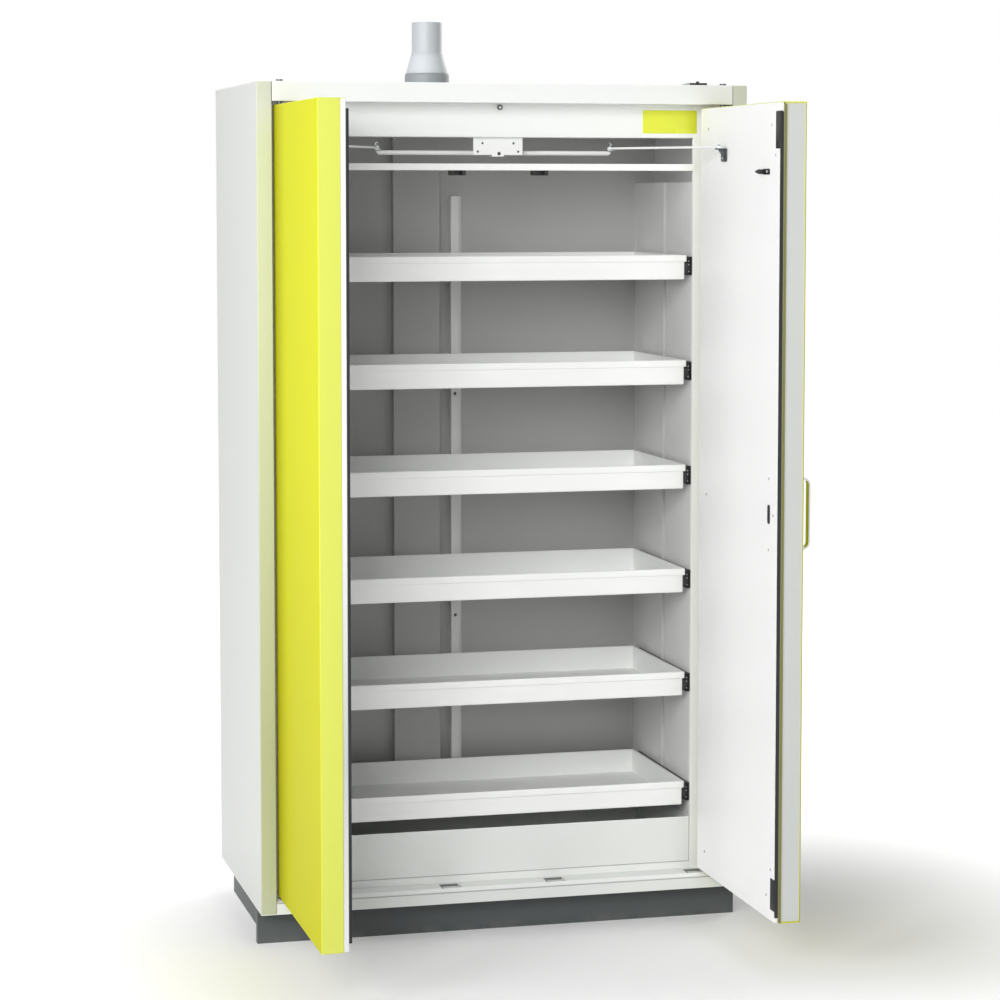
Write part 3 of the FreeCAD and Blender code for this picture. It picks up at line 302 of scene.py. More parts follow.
def dome(radius, height, hole=0.0):
    """Round head: its height follows the cosine of a quarter turn; a hole sinks its middle."""
    quarter = np.linspace(0.06, math.pi / 2, 7)
    profile = np.stack([radius * np.sin(quarter), height * np.cos(quarter)], -1)
    profile[profile[:, 0] < hole, 1] *= HOLE_LEVEL
    profile = np.concatenate([profile, [[radius, -HEAD_SINK]]])
    return turned(profile, (0, 0, 0), "z", 20)


# Shader nodes

FLOAT = "NodeSocketFloat"
COLOUR = "NodeSocketColor"
VECTOR = "NodeSocketVector"
BOX = (("Low", VECTOR, (-1, -1, -1)), ("High", VECTOR, (1, 1, 1)))
MASK = [("Mask", FLOAT)]


def linear(colour):
    """Linear colour of a paint given in display values from 0 to 255."""
    shade = np.array(colour) / 255
    light = np.where(shade <= 0.04045, shade / 12.92, ((shade + 0.055) / 1.055) ** 2.4)
    return (*light.tolist(), 1.0)


def metres(lengths):
    """Three lengths in metres; a single one stands for all three."""
    return (np.broadcast_to(lengths, 3) * METRE).tolist()


def new_group(name, inputs, outputs):
    """Shader group with named sockets, the values it is given and the sockets it gives out."""
    tree = bpy.data.node_groups.new(name, "ShaderNodeTree")
    for label, kind, value in inputs:
        socket = tree.interface.new_socket(label, in_out="INPUT", socket_type=kind)
        socket.default_value = value
    for label, kind in outputs:
        tree.interface.new_socket(label, in_out="OUTPUT", socket_type=kind)
    given = tree.nodes.new("NodeGroupInput")
    out = tree.nodes.new("NodeGroupOutput")
    return tree, given.outputs, out.inputs


def feed(tree, socket, value):
    """Links a value to an input when it is a socket, else sets it."""
    if isinstance(value, bpy.types.NodeSocket):
        tree.links.new(value, socket)
    else:
        socket.default_value = value


def fill(tree, node, values):
    """Gives the inputs and settings of a node the values of their names."""
    for name, value in values.items():
        if name in node.inputs:
            feed(tree, node.inputs[name], value)
        else:
            setattr(node, name, value)
    return node.outputs


def add(tree, kind, values):
    """Outputs of a new node with its values."""
    return fill(tree, tree.nodes.new(kind), values)


def wired(tree, kind, values, operation=None):
    """Outputs of a new node whose inputs take the values in turn."""
    node = tree.nodes.new(kind)
    if operation is not None:
        node.operation = operation
    for socket, value in zip(node.inputs, values):
        feed(tree, socket, value)
    return node.outputs


def scalar(tree, operation, *values):
    return wired(tree, "ShaderNodeMath", values, operation)[0]


def vector(tree, operation, *values):
    return wired(tree, "ShaderNodeVectorMath", values, operation)[0]


def object_place(tree):
    return add(tree, "ShaderNodeTexCoord", {})["Object"]


def parts(tree, place):
    """The x, y and z of a vector."""
    return add(tree, "ShaderNodeSeparateXYZ", {"Vector": place})


def noise(tree, place, scale, detail, roughness=0.5):
    values = {"Vector": place, "Scale": scale, "Detail": detail, "Roughness": roughness}
    return add(tree, "ShaderNodeTexNoise", values)[0]


def ranged(tree, value, low, high, first=0.0, last=1.0, kind="LINEAR"):
    """Value carried from the range low to high onto the range first to last, and held there."""
    values = {"interpolation_type": kind, "Value": value, "From Min": low, "From Max": high,
              "To Min": first, "To Max": last}
    return add(tree, "ShaderNodeMapRange", values)[0]


def use_group(tree, group, values):
    return add(tree, "ShaderNodeGroup", {"node_tree": group, **values})


def blend(tree, shade, tone, group, values):
    """Colour that goes from a shade to a plain tone by a group's mask."""
    mask = use_group(tree, group, values)["Mask"]
    values = {"data_type": "RGBA", "Factor": mask, "A": shade, "B": linear(tone)}
    return add(tree, "ShaderNodeMix", values)["Result"]


def bumped(tree, height, strength, depth):
    return add(tree, "ShaderNodeBump", {"Height": height, "Strength": strength, "Distance": depth})[0]


def peel_group():
    """Pebbled skin of a powder coat: fine grain on a longer swell."""
    tree, given, out = new_group("pebbled_skin", [("Grain", FLOAT, 900.0)], [("Height", FLOAT)])
    place = object_place(tree)
    fine = noise(tree, place, given["Grain"], 2.0)
    swell = noise(tree, place, scalar(tree, "MULTIPLY", given["Grain"], 0.06), 1.0)
    feed(tree, out["Height"], scalar(tree, "MULTIPLY_ADD", swell, 1.5, fine))
    return tree


def drift_group():
    """Slow change of tone and cloudy change of roughness over a face."""
    inputs = [("Base", COLOUR, (1, 1, 1, 1)), ("Reach", FLOAT, 3.0), ("Spread", FLOAT, 0.03),
              ("Rough", FLOAT, 0.4)]
    tree, given, out = new_group("tone_drift", inputs, [("Colour", COLOUR), ("Roughness", FLOAT)])
    place = object_place(tree)
    slow = scalar(tree, "SUBTRACT", noise(tree, place, given["Reach"], 3.0), 0.5)
    shift = scalar(tree, "MULTIPLY_ADD", slow, given["Spread"], 1.0)
    tint = add(tree, "ShaderNodeHueSaturation", {"Color": given["Base"], "Value": shift})
    cloud_scale = scalar(tree, "MULTIPLY", given["Reach"], 7.0)
    cloud = scalar(tree, "SUBTRACT", noise(tree, place, cloud_scale, 4.0, 0.6), 0.5)
    feed(tree, out["Colour"], tint[0])
    feed(tree, out["Roughness"], scalar(tree, "MULTIPLY_ADD", cloud, 0.06, given["Rough"]))
    return tree


def edge_group():
    """Mask near the edges of a box: the middle one of the three distances to its faces is small."""
    tree, given, out = new_group("edge_rub_and_highlight", [*BOX, ("Width", FLOAT, 0.002)], MASK)
    place = object_place(tree)
    from_low = vector(tree, "SUBTRACT", place, given["Low"])
    from_high = vector(tree, "SUBTRACT", given["High"], place)
    x, y, z = parts(tree, vector(tree, "MINIMUM", from_low, from_high))
    less = scalar(tree, "MINIMUM", x, y)
    more = scalar(tree, "MAXIMUM", x, y)
    middle = scalar(tree, "MAXIMUM", less, scalar(tree, "MINIMUM", more, z))
    ragged = scalar(tree, "MULTIPLY", noise(tree, place, 160.0, 4.0), given["Width"])
    feed(tree, out["Mask"], ranged(tree, middle, ragged, given["Width"], 1.0, 0.0))
    return tree


def dust_group():
    """Mask of dust and scuffs: strongest at the low edge, broken up by clouds."""
    inputs = [("Bottom", FLOAT, 0.0), ("Top", FLOAT, 0.3), ("Amount", FLOAT, 0.3)]
    tree, given, out = new_group("low_dust", inputs, MASK)
    place = object_place(tree)
    level = parts(tree, place)["Z"]
    fade = ranged(tree, level, given["Bottom"], given["Top"], 1.0, 0.0, "SMOOTHSTEP")
    patch = ranged(tree, noise(tree, place, 14.0, 5.0, 0.65), 0.42, 0.68)
    both = scalar(tree, "MULTIPLY", fade, patch)
    feed(tree, out["Mask"], scalar(tree, "MULTIPLY", both, given["Amount"]))
    return tree


def area_group():
    """Mask inside a box: the least of the six depths, each counted in its axis's soft margin."""
    tree, given, out = new_group("toned_area", [*BOX, ("Soft", VECTOR, (0.001, 0.001, 0.001))], MASK)
    place = object_place(tree)
    depths = []
    for first, second in ((place, given["Low"]), (given["High"], place)):
        margins = vector(tree, "DIVIDE", vector(tree, "SUBTRACT", first, second), given["Soft"])
        depths += parts(tree, margins)[:]
    least = depths[0]
    for depth in depths[1:]:
        least = scalar(tree, "MINIMUM", least, depth)
    feed(tree, out["Mask"], ranged(tree, least, 0.0, 1.0, kind="SMOOTHSTEP"))
    return tree


def grain_group():
    """Fine drawn lines of a brushed or rolled metal, long along the small scale."""
    inputs = [("Scale", VECTOR, (900, 900, 20)), ("Rough", FLOAT, 0.3), ("Spread", FLOAT, 0.15)]
    tree, given, out = new_group("drawn_lines", inputs, [("Height", FLOAT), ("Roughness", FLOAT)])
    stretched = vector(tree, "MULTIPLY", object_place(tree), given["Scale"])
    lines = noise(tree, stretched, 1.0, 3.0)
    centred = scalar(tree, "SUBTRACT", lines, 0.5)
    feed(tree, out["Height"], lines)
    feed(tree, out["Roughness"], scalar(tree, "MULTIPLY_ADD", centred, given["Spread"], given["Rough"]))
    return tree


# Finishes: colours are display values from 0 to 255, lengths are millimetres.

PEEL = peel_group()
DRIFT = drift_group()
EDGE = edge_group()
DUST = dust_group()
AREA = area_group()
GRAIN = grain_group()

PEEL_DEPTH = 0.0003
LINE_DEPTH = 0.0001
LINE_RELIEF = 0.08

WHITE = (240, 242, 239)
# Painted shade: the side sheets are a darker white than the front ones.
SHADED_SIDE_WHITE = (222, 224, 221)
PURE_WHITE = (254, 254, 254)
# Pale edge colour: rub and painted highlight.
PALE_RUB_AND_HIGHLIGHT = (250, 251, 250)
DUST_GREY = (176, 172, 164)
YELLOW = (226, 228, 20)
# Yellow edge colour: rub and painted highlight.
YELLOW_RUB_AND_HIGHLIGHT = (240, 246, 96)
# Painted shade of the door's yellow toward its foot and its hinge.
YELLOW_FOOT_SHADE = (212, 210, 14)
YELLOW_HINGE_SHADE = (160, 155, 8)
# Painted highlight of the left door's cut end, and painted shade along the right door's inner end edge.
LIT_END_YELLOW = (219, 226, 102)
OLIVE_SHADE = (146, 144, 84)
PALE_OLIVE = (178, 180, 112)
# Tones of the side's front fold: painted yellow bounce light from the open door, deeper lower down and fading
# at the top.
BOUNCE_CREAM = (205, 211, 186)
FADED_BOUNCE_CREAM = (210, 213, 202)
SHADED_BOUNCE_CREAM = (176, 181, 146)
JOINT_GREY = (112, 114, 100)
SEAM_GREY = (142, 146, 142)


def linked(name, data):
    """New object with its data, in the scene."""
    item = bpy.data.objects.new(name, data)
    bpy.context.scene.collection.objects.link(item)
    return item


def start_material(name):
    material = bpy.data.materials.new(name)
    material.use_nodes = True
    tree = material.node_tree
    return material, tree, tree.nodes["Principled BSDF"]


def painted(name, colour, rough=0.38, grain=700.0, relief=0.12, spread=0.025, edges=None, dust=None,
            shine=0.5, areas=()):
    """Coat or moulded surface: drifting tone, edges painted lighter as rub and highlight, toned areas, some
    of them painted shade or highlight, dust and pebbled skin.

    Edges are two corners of a box, a width and a colour. Each area is two corners of a box, its
    soft margin and its tone. Dust is its bottom, its top and its amount.
    """
    material, tree, surface = start_material(name)
    drift = use_group(tree, DRIFT, {"Base": linear(colour), "Rough": rough, "Spread": spread})
    shade = drift["Colour"]
    # Edges go lighter: partly rub, partly painted highlight.
    if edges is not None:
        low, high, width, rub_and_highlight = edges
        values = {"Low": metres(low), "High": metres(high), "Width": width * METRE}
        shade = blend(tree, shade, rub_and_highlight, EDGE, values)
    for low, high, soft, tone in areas:
        values = {"Low": metres(low), "High": metres(high), "Soft": metres(soft)}
        shade = blend(tree, shade, tone, AREA, values)
    if dust is not None:
        bottom, top, amount = dust
        values = {"Bottom": bottom * METRE, "Top": top * METRE, "Amount": amount}
        shade = blend(tree, shade, DUST_GREY, DUST, values)
    height = use_group(tree, PEEL, {"Grain": grain})["Height"]
    fill(tree, surface, {"Base Color": shade, "Roughness": drift["Roughness"],
                         "Specular IOR Level": shine, "Normal": bumped(tree, height, relief, PEEL_DEPTH)})
    return material


def metal(name, colour, rough=0.3, lines=(900, 900, 20), spread=0.12):
    """Drawn or plated metal with fine lines and a little drift of tone."""
    material, tree, surface = start_material(name)
    drift = use_group(tree, DRIFT, {"Base": linear(colour), "Spread": 0.08, "Reach": 12.0})
    drawn = use_group(tree, GRAIN, {"Scale": lines, "Rough": rough, "Spread": spread})
    normal = bumped(tree, drawn["Height"], LINE_RELIEF, LINE_DEPTH)
    fill(tree, surface, {"Base Color": drift["Colour"], "Roughness": drawn["Roughness"], "Metallic": 1.0,
                         "Normal": normal})
    return material


def casing_finish(node, colour=WHITE, areas=()):
    """Satin coat of an outer sheet, lighter along its edges as rub and painted highlight, and a little dusty
    at its foot.
    """
    low, high = span(node)
    return painted(node + "_coat", colour, rough=0.4, edges=(low, high, 1.6, PALE_RUB_AND_HIGHLIGHT),
                   dust=(84, 300, 0.05), areas=areas)


FOLD_FRONT = -309.0
FOLD_BACK = -305.5
FOLD_SOFT = 0.5


def side_finish(hand, node):
    """Side sheet in a white painted darker than the front, as painted shade. Its narrow front fold has
    painted yellow light bounced from the open door, deeper toward the foot and fading at the top, and it is
    dark in the joint with the fascia.
    """
    low, high = across(hand, 563.0, 601.0)
    areas = [((low, FOLD_FRONT, bottom), (high, FOLD_BACK, top), (1.0, FOLD_SOFT, soft), tone)
             for bottom, top, soft, tone in ((0.0, 2100.0, 1.0, BOUNCE_CREAM), (-900.0, 1800.0, 1800.0, SHADED_BOUNCE_CREAM),
                                             (1880.0, 2100.0, 120.0, FADED_BOUNCE_CREAM))]
    low, high = across(hand, 563.0, 565.0)
    joint = ((low, FOLD_FRONT, 1996.0), (high, -240.0, 2060.0), (0.3, FOLD_SOFT, 2.0), JOINT_GREY)
    return casing_finish(node, SHADED_SIDE_WHITE, areas=[*areas, joint])


def door_finish(side):
    """Yellow coat with painted shade, darker and warmer toward the hinge and the foot; its edges are lighter
    as rub and painted highlight.

    The cut end of the left door has a painted highlight; on the right one it is olive along its two edges,
    the inner one a painted shade of its groove.
    """
    low, high = span(side + "_door_shell")
    # Painted shade toward the foot and toward the hinge.
    foot = ((-700, -900, -900), (700, 0, 1500), (1, 1, 1300), YELLOW_FOOT_SHADE)
    hinge = ((-700, -460, -900), (700, 0, 3000), (1, 230, 1), YELLOW_HINGE_SHADE)
    cut = low[1] + 1.2
    # Painted highlight on the left door's cut end; painted shade along the right one's inner edge.
    if side == "left":
        ends = [((-700, -900, 0), (0, cut, 2200), 0.8, LIT_END_YELLOW)]
    else:
        ends = [((0, -900, 0), (low[0] + 3.4, cut, 1990), 0.5, OLIVE_SHADE),
                ((high[0] - 1.6, -900, 0), (700, cut, 1990), 0.5, PALE_OLIVE),
                ((high[0] - 2.6, -900, 0), (high[0] - 0.6, low[1] + 24, 1990), 0.5, PALE_OLIVE)]
    return painted(side + "_door_coat", YELLOW, rough=0.42, grain=620.0, edges=(low, high, 2.0, YELLOW_RUB_AND_HIGHLIGHT),
                   dust=(126, 260, 0.03), shine=0.03, areas=[foot, hinge, *ends])


def plinth_finish(node):
    """Dark coat of the plinth, with painted shade darker toward the casing, and edges painted lighter as rub
    and highlight.
    """
    low, high = span(node)
    # Painted shade under the casing's overhang.
    shade = ((-700, -400, 20), (700, 400, 200), (1, 1, 90), (62, 66, 66))
    return painted(node + "_coat", (80, 85, 85), 0.5, 520.0, 0.15, 0.06,
                   edges=(low, high, 1.8, (86, 92, 92)), dust=(0, 26, 0.12), areas=[shade])


def sump_finish(node):
    """White coat with the dark seams along the front's foot and its right-hand end."""
    low, high = span(node)
    seams = [((-600, -234, low[2] - 1), (600, -231.6, low[2] + 1.5), (1, 0.3, 0.4), SEAM_GREY),
             ((high[0] - 1.6, -234, 0), (600, -231.6, 300), (0.4, 0.3, 1), SEAM_GREY)]
    return casing_finish(node, (234, 236, 233), areas=seams)


# Painted shade low on the back wall, darker toward the foot.
BACK_FOOT_SHADE = ((-600, 200, 0), (600, 300, 420), (1, 1, 120), (160, 160, 158))
SILL_GROOVE = ((-600, -309, 109.6), (600, -305.9, 112.4), (1, 0.4, 0.5), (178, 181, 177))
# Painted highlight along the top of the sill's sloped nose.
SILL_PAINTED_HIGHLIGHT = ((-600, -305.5, 111.6), (600, -286.5, 119), (1, 2.5, 0.5), (254, 255, 254))
# Painted shade on the end of the left door's white panel, darker toward the foot.
PANEL_END_SHADE = ((-508, -900, -400), (-492, -831.5, 1500), (0.1, 0.4, 1500), (172, 177, 168))
# Painted highlight on the spigot's upward flared foot.
SPIGOT_FOOT_HIGHLIGHT = ((-160, 40, 2080), (-40, 160, 2145), (1, 1, 22), (214, 219, 223))
FRAME_DUST = (90, 200, 0.05)
EVEN_LINES = (300, 300, 300)

# The numbers after a colour: roughness, scale and relief of the grain, spread of the tone.

lining_coat = painted("lining_coat", (229, 229, 228), 0.45)
back_coat = painted("back_coat", (192, 192, 190), 0.42, spread=0.05, areas=[BACK_FOOT_SHADE])
duct_coat = painted("duct_coat", (188, 188, 186), 0.4, spread=0.05)
frame_coat = painted("frame_coat", WHITE, 0.4, dust=FRAME_DUST)
jamb_coat = painted("jamb_coat", (252, 253, 250), 0.4, dust=FRAME_DUST)
upright_coat = painted("upright_coat", (246, 246, 246), 0.36)
sill_plate_coat = painted("sill_plate_coat", (212, 215, 211), 0.34)
# Painted shade inside the latch pockets.
pocket_shade_coat = painted("pocket_shade_coat", (132, 134, 130), 0.5)
sill_coat = painted("sill_coat", (234, 237, 233), 0.4, areas=[SILL_GROOVE, SILL_PAINTED_HIGHLIGHT])
closer_coat = painted("closer_coat", (240, 241, 239), 0.36)
left_panel_shaded_coat = painted("left_panel_shaded_coat", PURE_WHITE, 0.5, 420.0, 0.03, 0.01, areas=[PANEL_END_SHADE])
door_inside_coat = painted("door_inside_coat", PURE_WHITE, 0.5, 420.0, 0.03, 0.01)
hem_coat = painted("hem_coat", (238, 244, 128), 0.5)
core_coat = painted("core_coat", (212, 215, 211), 0.6, 900.0, 0.3, 0.06)
board_coat = painted("board_coat", (200, 198, 190), 0.85, 500.0, 0.6, 0.12)
seal_rubber = painted("seal_rubber", (24, 25, 26), 0.62, 1400.0, 0.25, 0.2)
# Painted shade of the groove beside the right door's seal.
olive_shade_strip = painted("olive_shade_strip", (132, 132, 92), 0.6, 1400.0, 0.2, 0.1)
black_moulding = painted("black_moulding", (20, 21, 22), 0.42, 1600.0, 0.2, 0.2)
slide_coat = painted("slide_coat", (30, 31, 32), 0.34, 1200.0, 0.1, 0.25)
rod_coat = painted("rod_coat", (236, 238, 238), 0.25)
spigot_grey = painted("spigot_grey", (196, 201, 205), 0.42, 260.0, 0.05, 0.04, areas=[SPIGOT_FOOT_HIGHLIGHT])
collar_grey = painted("collar_grey", (150, 156, 158), 0.45, 260.0, 0.06, 0.05)
label_yellow = painted("label_yellow", (222, 228, 62), 0.28, 200.0, 0.02, 0.02)
bright_steel = metal("bright_steel", (200, 202, 204), 0.28)
zinc_steel = metal("zinc_steel", (186, 189, 192), 0.38, lines=EVEN_LINES, spread=0.2)
dark_steel = metal("dark_steel", (88, 90, 92), 0.36, lines=EVEN_LINES)
bracket_steel = metal("bracket_steel", (98, 100, 102), lines=EVEN_LINES, spread=0.25)
handle_metal = metal("handle_metal", (206, 207, 204), 0.16, lines=(1400, 60, 1400), spread=0.08)


# Pieces

PIECE_CREASE = 38.0
SHEET_CREASE = 35.0
SHEET_ROLL = 0.45
SAME_POINT = 1e-6
FLAT_ANGLE = 1.0


def dress(item, finish):
    item.data.materials.clear()
    item.data.materials.append(finish)


def new_item(name, mesh, finish, crease):
    """Object of a mesh in its finish, shaded smooth up to the crease angle."""
    mesh.shade_smooth()
    mesh.set_sharp_from_angle(angle=math.radians(crease))
    item = linked(name, mesh)
    dress(item, finish)
    return item


def piece(name, body, finish, shapes, instead=None):
    """Object made of the shapes; it rides on a body and may take the place of a CAD node."""
    points, faces = joined(shapes)
    mesh = bpy.data.meshes.new(name)
    mesh.from_pydata((points * METRE).tolist(), [], faces)
    item = new_item(name, mesh, finish, PIECE_CREASE)
    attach(item, body)
    if instead:
        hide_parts(instead)


def heads(name, body, head, places, facing="+z", finish=zinc_steel):
    """Screw or rivet heads as one piece."""
    piece(name, body, finish, [repeated(head, places, facing)])


def eased(node, finish, width=SHEET_ROLL, segments=2, rear=None):
    """Copy of a CAD sheet with its doubles merged, its flats made whole and its edges rolled.

    Where a rear level is given, no point lies behind it.
    """
    source = nodes[node].data
    corners = np.empty(len(source.vertices) * 3)
    source.vertices.foreach_get("co", corners)
    corners = corners.reshape(-1, 3)
    if rear is not None:
        corners[:, 1] = np.minimum(corners[:, 1], rear * METRE)
    mesh = bpy.data.meshes.new(node + "_eased")
    mesh.from_pydata(corners.tolist(), [], [list(face.vertices) for face in source.polygons])
    work = bmesh.new()
    work.from_mesh(mesh)
    bmesh.ops.remove_doubles(work, verts=work.verts, dist=SAME_POINT)
    bmesh.ops.dissolve_limit(work, angle_limit=math.radians(FLAT_ANGLE), verts=work.verts,
                             edges=work.edges)
    work.to_mesh(mesh)
    work.free()
    item = new_item(node + "_eased", mesh, finish, SHEET_CREASE)
    rolled = item.modifiers.new("rolled_edges", "BEVEL")
    rolled.width = width * METRE
    rolled.segments = segments
    rolled.limit_method = "ANGLE"
    rolled.angle_limit = math.radians(SHEET_CREASE)
    rolled.harden_normals = True
    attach(item, nodes[node]["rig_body"])
    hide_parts(node)


REAR_SHEET = 307.2


def casing_sheets():
    """Sheets and mouldings of the casing, in their finishes and with rolled edges."""
    for hand, side in HANDS[::-1]:
        eased(side + "_side_panel", side_finish(hand, side + "_side_panel"))
    for node in ("top_panel", "front_fascia"):
        eased(node, casing_finish(node))
    eased("back_panel", casing_finish("back_panel"), width=0.3, rear=REAR_SHEET)
    eased("header_panel", frame_coat)
    eased("floor_lining", frame_coat)
    for node in ("left_jamb", "right_jamb", "cross_rail"):
        eased(node, jamb_coat)
    eased("sill", sill_coat, width=0.3)
    eased("left_lining", lining_coat)
    eased("right_lining", lining_coat)
    eased("exhaust_duct", duct_coat)
    eased("back_upright", upright_coat)
    eased("closer_cover", closer_coat, width=0.4)
    eased("rail_catches", black_moulding, width=0.8)
    eased("sump_tray", sump_finish("sump_tray"), width=0.5)
    for node in ("plinth_front", "plinth_frame"):
        eased(node, plinth_finish(node), width=0.9)
    dress(nodes["base_panel"], frame_coat)
    dress(nodes["back_lining"], back_coat)
    dress(nodes["ceiling_lining"], lining_coat)
    dress(nodes["insulation_boards"], board_coat)
    dress(nodes["hinge_pins"], dark_steel)


def door_sheets():
    """Shells, inner panels and cores of both doors, and the lock's plug."""
    for side, panel_coat in (("left", left_panel_shaded_coat), ("right", door_inside_coat)):
        eased(side + "_door_shell", door_finish(side), width=0.7, segments=3)
        eased(side + "_door_panel", panel_coat, width=0.7)
        dress(nodes[side + "_door_core"], core_coat)
    dress(nodes["lock_plug"], bright_steel)


# Trays and slides

TRAY_COUNT = 6
TRAY_HEIGHT = 60.0
TRAY_HALF_WIDTH = 474.6
TRAY_DEPTH = 425.0
TRAY_SHEET = 1.5
RIM_HEIGHT = 16.5
RIM_STEP = 5.2
RIM_RADIUS = 4.0
LEAST_RADIUS = 1.3
FLOOR_REACH = 200.0
SLIDE_DROP = 27.0
SLIDE_FRONT = -230.5
SLIDE_REAR = 179.5
STOP_PARTS = (
    # across, ahead of the slide's front, above its level, corner, edge
    ((476.6, 483.2), (-0.6, 14.0), (-17.8, 17.8), 1.6, 0.7),
    ((474.9, 484.4), (1.0, 7.0), (8.0, 17.9), 1.0, 0.5),
)


def tray_pan(low, high):
    """Folded pan: the profile of wall, rim and floor carried round a rectangle.

    A point lies its offset outside the rim's rectangle, and its corner radius grows with the offset.
    """
    wall = -RIM_STEP
    inside = -RIM_STEP - TRAY_SHEET
    floor_top = TRAY_SHEET - TRAY_HEIGHT
    profile = [(-FLOOR_REACH, -TRAY_HEIGHT), (wall, -TRAY_HEIGHT), (wall, -RIM_HEIGHT), (0.0, -RIM_HEIGHT),
               (0.0, 0.0), (inside, 0.0), (inside, floor_top), (-FLOOR_REACH, floor_top)]
    radii = [0.1, 3.0, 0.6, 1.3, 2.0, 1.4, 2.0, 0.1]
    offset, level = soften(profile, radii, steps=5, closed=False).T
    half_depth = TRAY_DEPTH / 2
    rings = rectangle_rings(TRAY_HALF_WIDTH + offset, half_depth + offset,
                            np.maximum(RIM_RADIUS + offset, LEAST_RADIUS))
    rings = rings + np.array([(low[0] + high[0]) / 2, low[1] + half_depth])
    return skin(set_out(rings, high[2] + level[:, None], "z"))


def inner_member(hand, level):
    """C-shaped inner member with the spacer that holds it off the tray's side."""
    outline = np.array([
        (469.4, -19.3), (483.6, -19.3), (483.6, -18.1), (476.4, -18.1), (476.4, 18.1), (483.6, 18.1),
        (483.6, 19.3), (475.2, 19.3), (475.2, 6.7), (469.4, 6.7),
    ])
    outline = soften(outline, 0.5, steps=2) * (hand, 1) + (0, level)
    return bar(outline, SLIDE_FRONT, SLIDE_REAR, "y", edge=0.25, steps=2)


def front_stop(hand, level):
    """Moulded bumper in the front of the inner member, with a lug that runs behind its upper end."""
    return [handed_slab(hand, x, (SLIDE_FRONT + y[0], SLIDE_FRONT + y[1]), (level + z[0], level + z[1]), "y",
                        corner, edge) for x, y, z, corner, edge in STOP_PARTS]


def trays():
    """Six pans with the inner members of their slides, their stops and their rivets."""
    for count in range(1, TRAY_COUNT + 1):
        body = f"tray_body_{count}"
        node = f"tray_{count}"
        low, high = span(node)
        pan_low = np.array([-TRAY_HALF_WIDTH, low[1], high[2] - TRAY_HEIGHT])
        pan_high = np.array([TRAY_HALF_WIDTH, low[1] + TRAY_DEPTH, high[2]])
        # The pan's edges are painted lighter, partly rub and partly painted highlight.
        coat = painted(node + "_coat", (252, 253, 251), edges=(pan_low, pan_high, 1.4, PALE_RUB_AND_HIGHLIGHT))
        piece(node + "_pan", body, coat, [tray_pan(low, high)], instead=node)
        level = high[2] - SLIDE_DROP
        members = [inner_member(hand, level) for hand, side in HANDS]
        piece(node + "_inner_members", body, slide_coat, members)
        stops = [stop for hand, side in HANDS for stop in front_stop(hand, level)]
        piece(node + "_front_stops", body, black_moulding, stops)
        rivets = [(hand * 479.4, SLIDE_FRONT - 0.9, level + rise) for hand, side in HANDS
                  for rise in (-13.5, 3.0, 12.0)]
        heads(node + "_rivets", body, dome(1.3, 0.8), rivets, "-y")
        dress(nodes[f"slide_middle_{count}"], slide_coat)
    dress(nodes["slide_outer_members"], slide_coat)


# Exhaust spigot

FOOT_RADIUS = 52.0
PIPE_RADIUS = 37.5
PIPE_WALL = 3.0
CONE_BOTTOM = 40.0
CONE_TOP = 91.0
COLLAR_GAP = 0.3


def spigot():
    """Conical reducer and its collar, each a closed profile turned about the spigot's middle."""
    low, high = span("spigot_reducer")
    centre = ((low[0] + high[0]) / 2, (low[1] + high[1]) / 2, low[2])
    height = high[2] - low[2]
    outer = [(FOOT_RADIUS, 0.0), (FOOT_RADIUS, CONE_BOTTOM), (PIPE_RADIUS, CONE_TOP), (PIPE_RADIUS, height)]
    inner = [(radius - PIPE_WALL, level) for radius, level in outer]
    radii = [0.5, 0.5, 40.0, 3.0, 1.2, 1.2, 3.0, 40.0]
    pipe = hoop([inner[0], *outer, *inner[:0:-1]], radii, centre, steps=8)
    piece("spigot_reducer_pipe", "casing", spigot_grey, [pipe], instead="spigot_reducer")
    bore = FOOT_RADIUS + COLLAR_GAP
    outline = [(bore, 0.0), (bore + 3.0, 0.0), (bore + 3.0, 33.0), (bore + 1.3, 38.0), (bore, 38.0)]
    collar = hoop(outline, [0.3, 0.6, 1.5, 0.5, 0.3], centre)
    piece("spigot_collar_ring", "casing", collar_grey, [collar], instead="spigot_collar")


# Door handle

HANDLE_THICKNESS = 5.0
HANDLE_BEND = 17.5
HANDLE_SINK = 0.3


def handle():
    """Flat bar bent into a bow: its section follows the middle line of the bow."""
    low, high = span("door_handle")
    half = HANDLE_THICKNESS / 2
    foot = low[0] - HANDLE_SINK
    reach = high[0] - half
    bottom, top = low[2] + half, high[2] - half
    line = soften([(foot, bottom), (reach, bottom), (reach, top), (foot, top)], HANDLE_BEND, steps=12,
                  closed=False)
    path = np.stack([line[:, 0], np.full(len(line), (low[1] + high[1]) / 2), line[:, 1]], -1)
    section = rectangle_rings(half, (high[1] - low[1]) / 2, 1.5, 4)[0]
    piece("door_handle_bow", "right_door", handle_metal, [swept(path, section)],
          instead="door_handle")


# Self-closing gear

DOOR_PIN = (475.0, -467.5)
RAIL_PIN = (290.0, -187.5)
ROD_LEVEL = 1899.0
ROD_RADIUS = 2.75
EYE_START = 3.2
EYE_REACH = 12.0
EYE_SWELL = 1.8
PLATE_TOP = 1895.7
COVER_FACE = -221.5
TUBE_LEVEL = 1887.0
TUBE_RADIUS = 5.5
TUBE_BORE = 4.2
TUBE_START = 12.0
TUBE_END = 293.0
TUBE_SLANT = 7.0
SLANT_START = 280.0
SLANT_FADE = 12.0


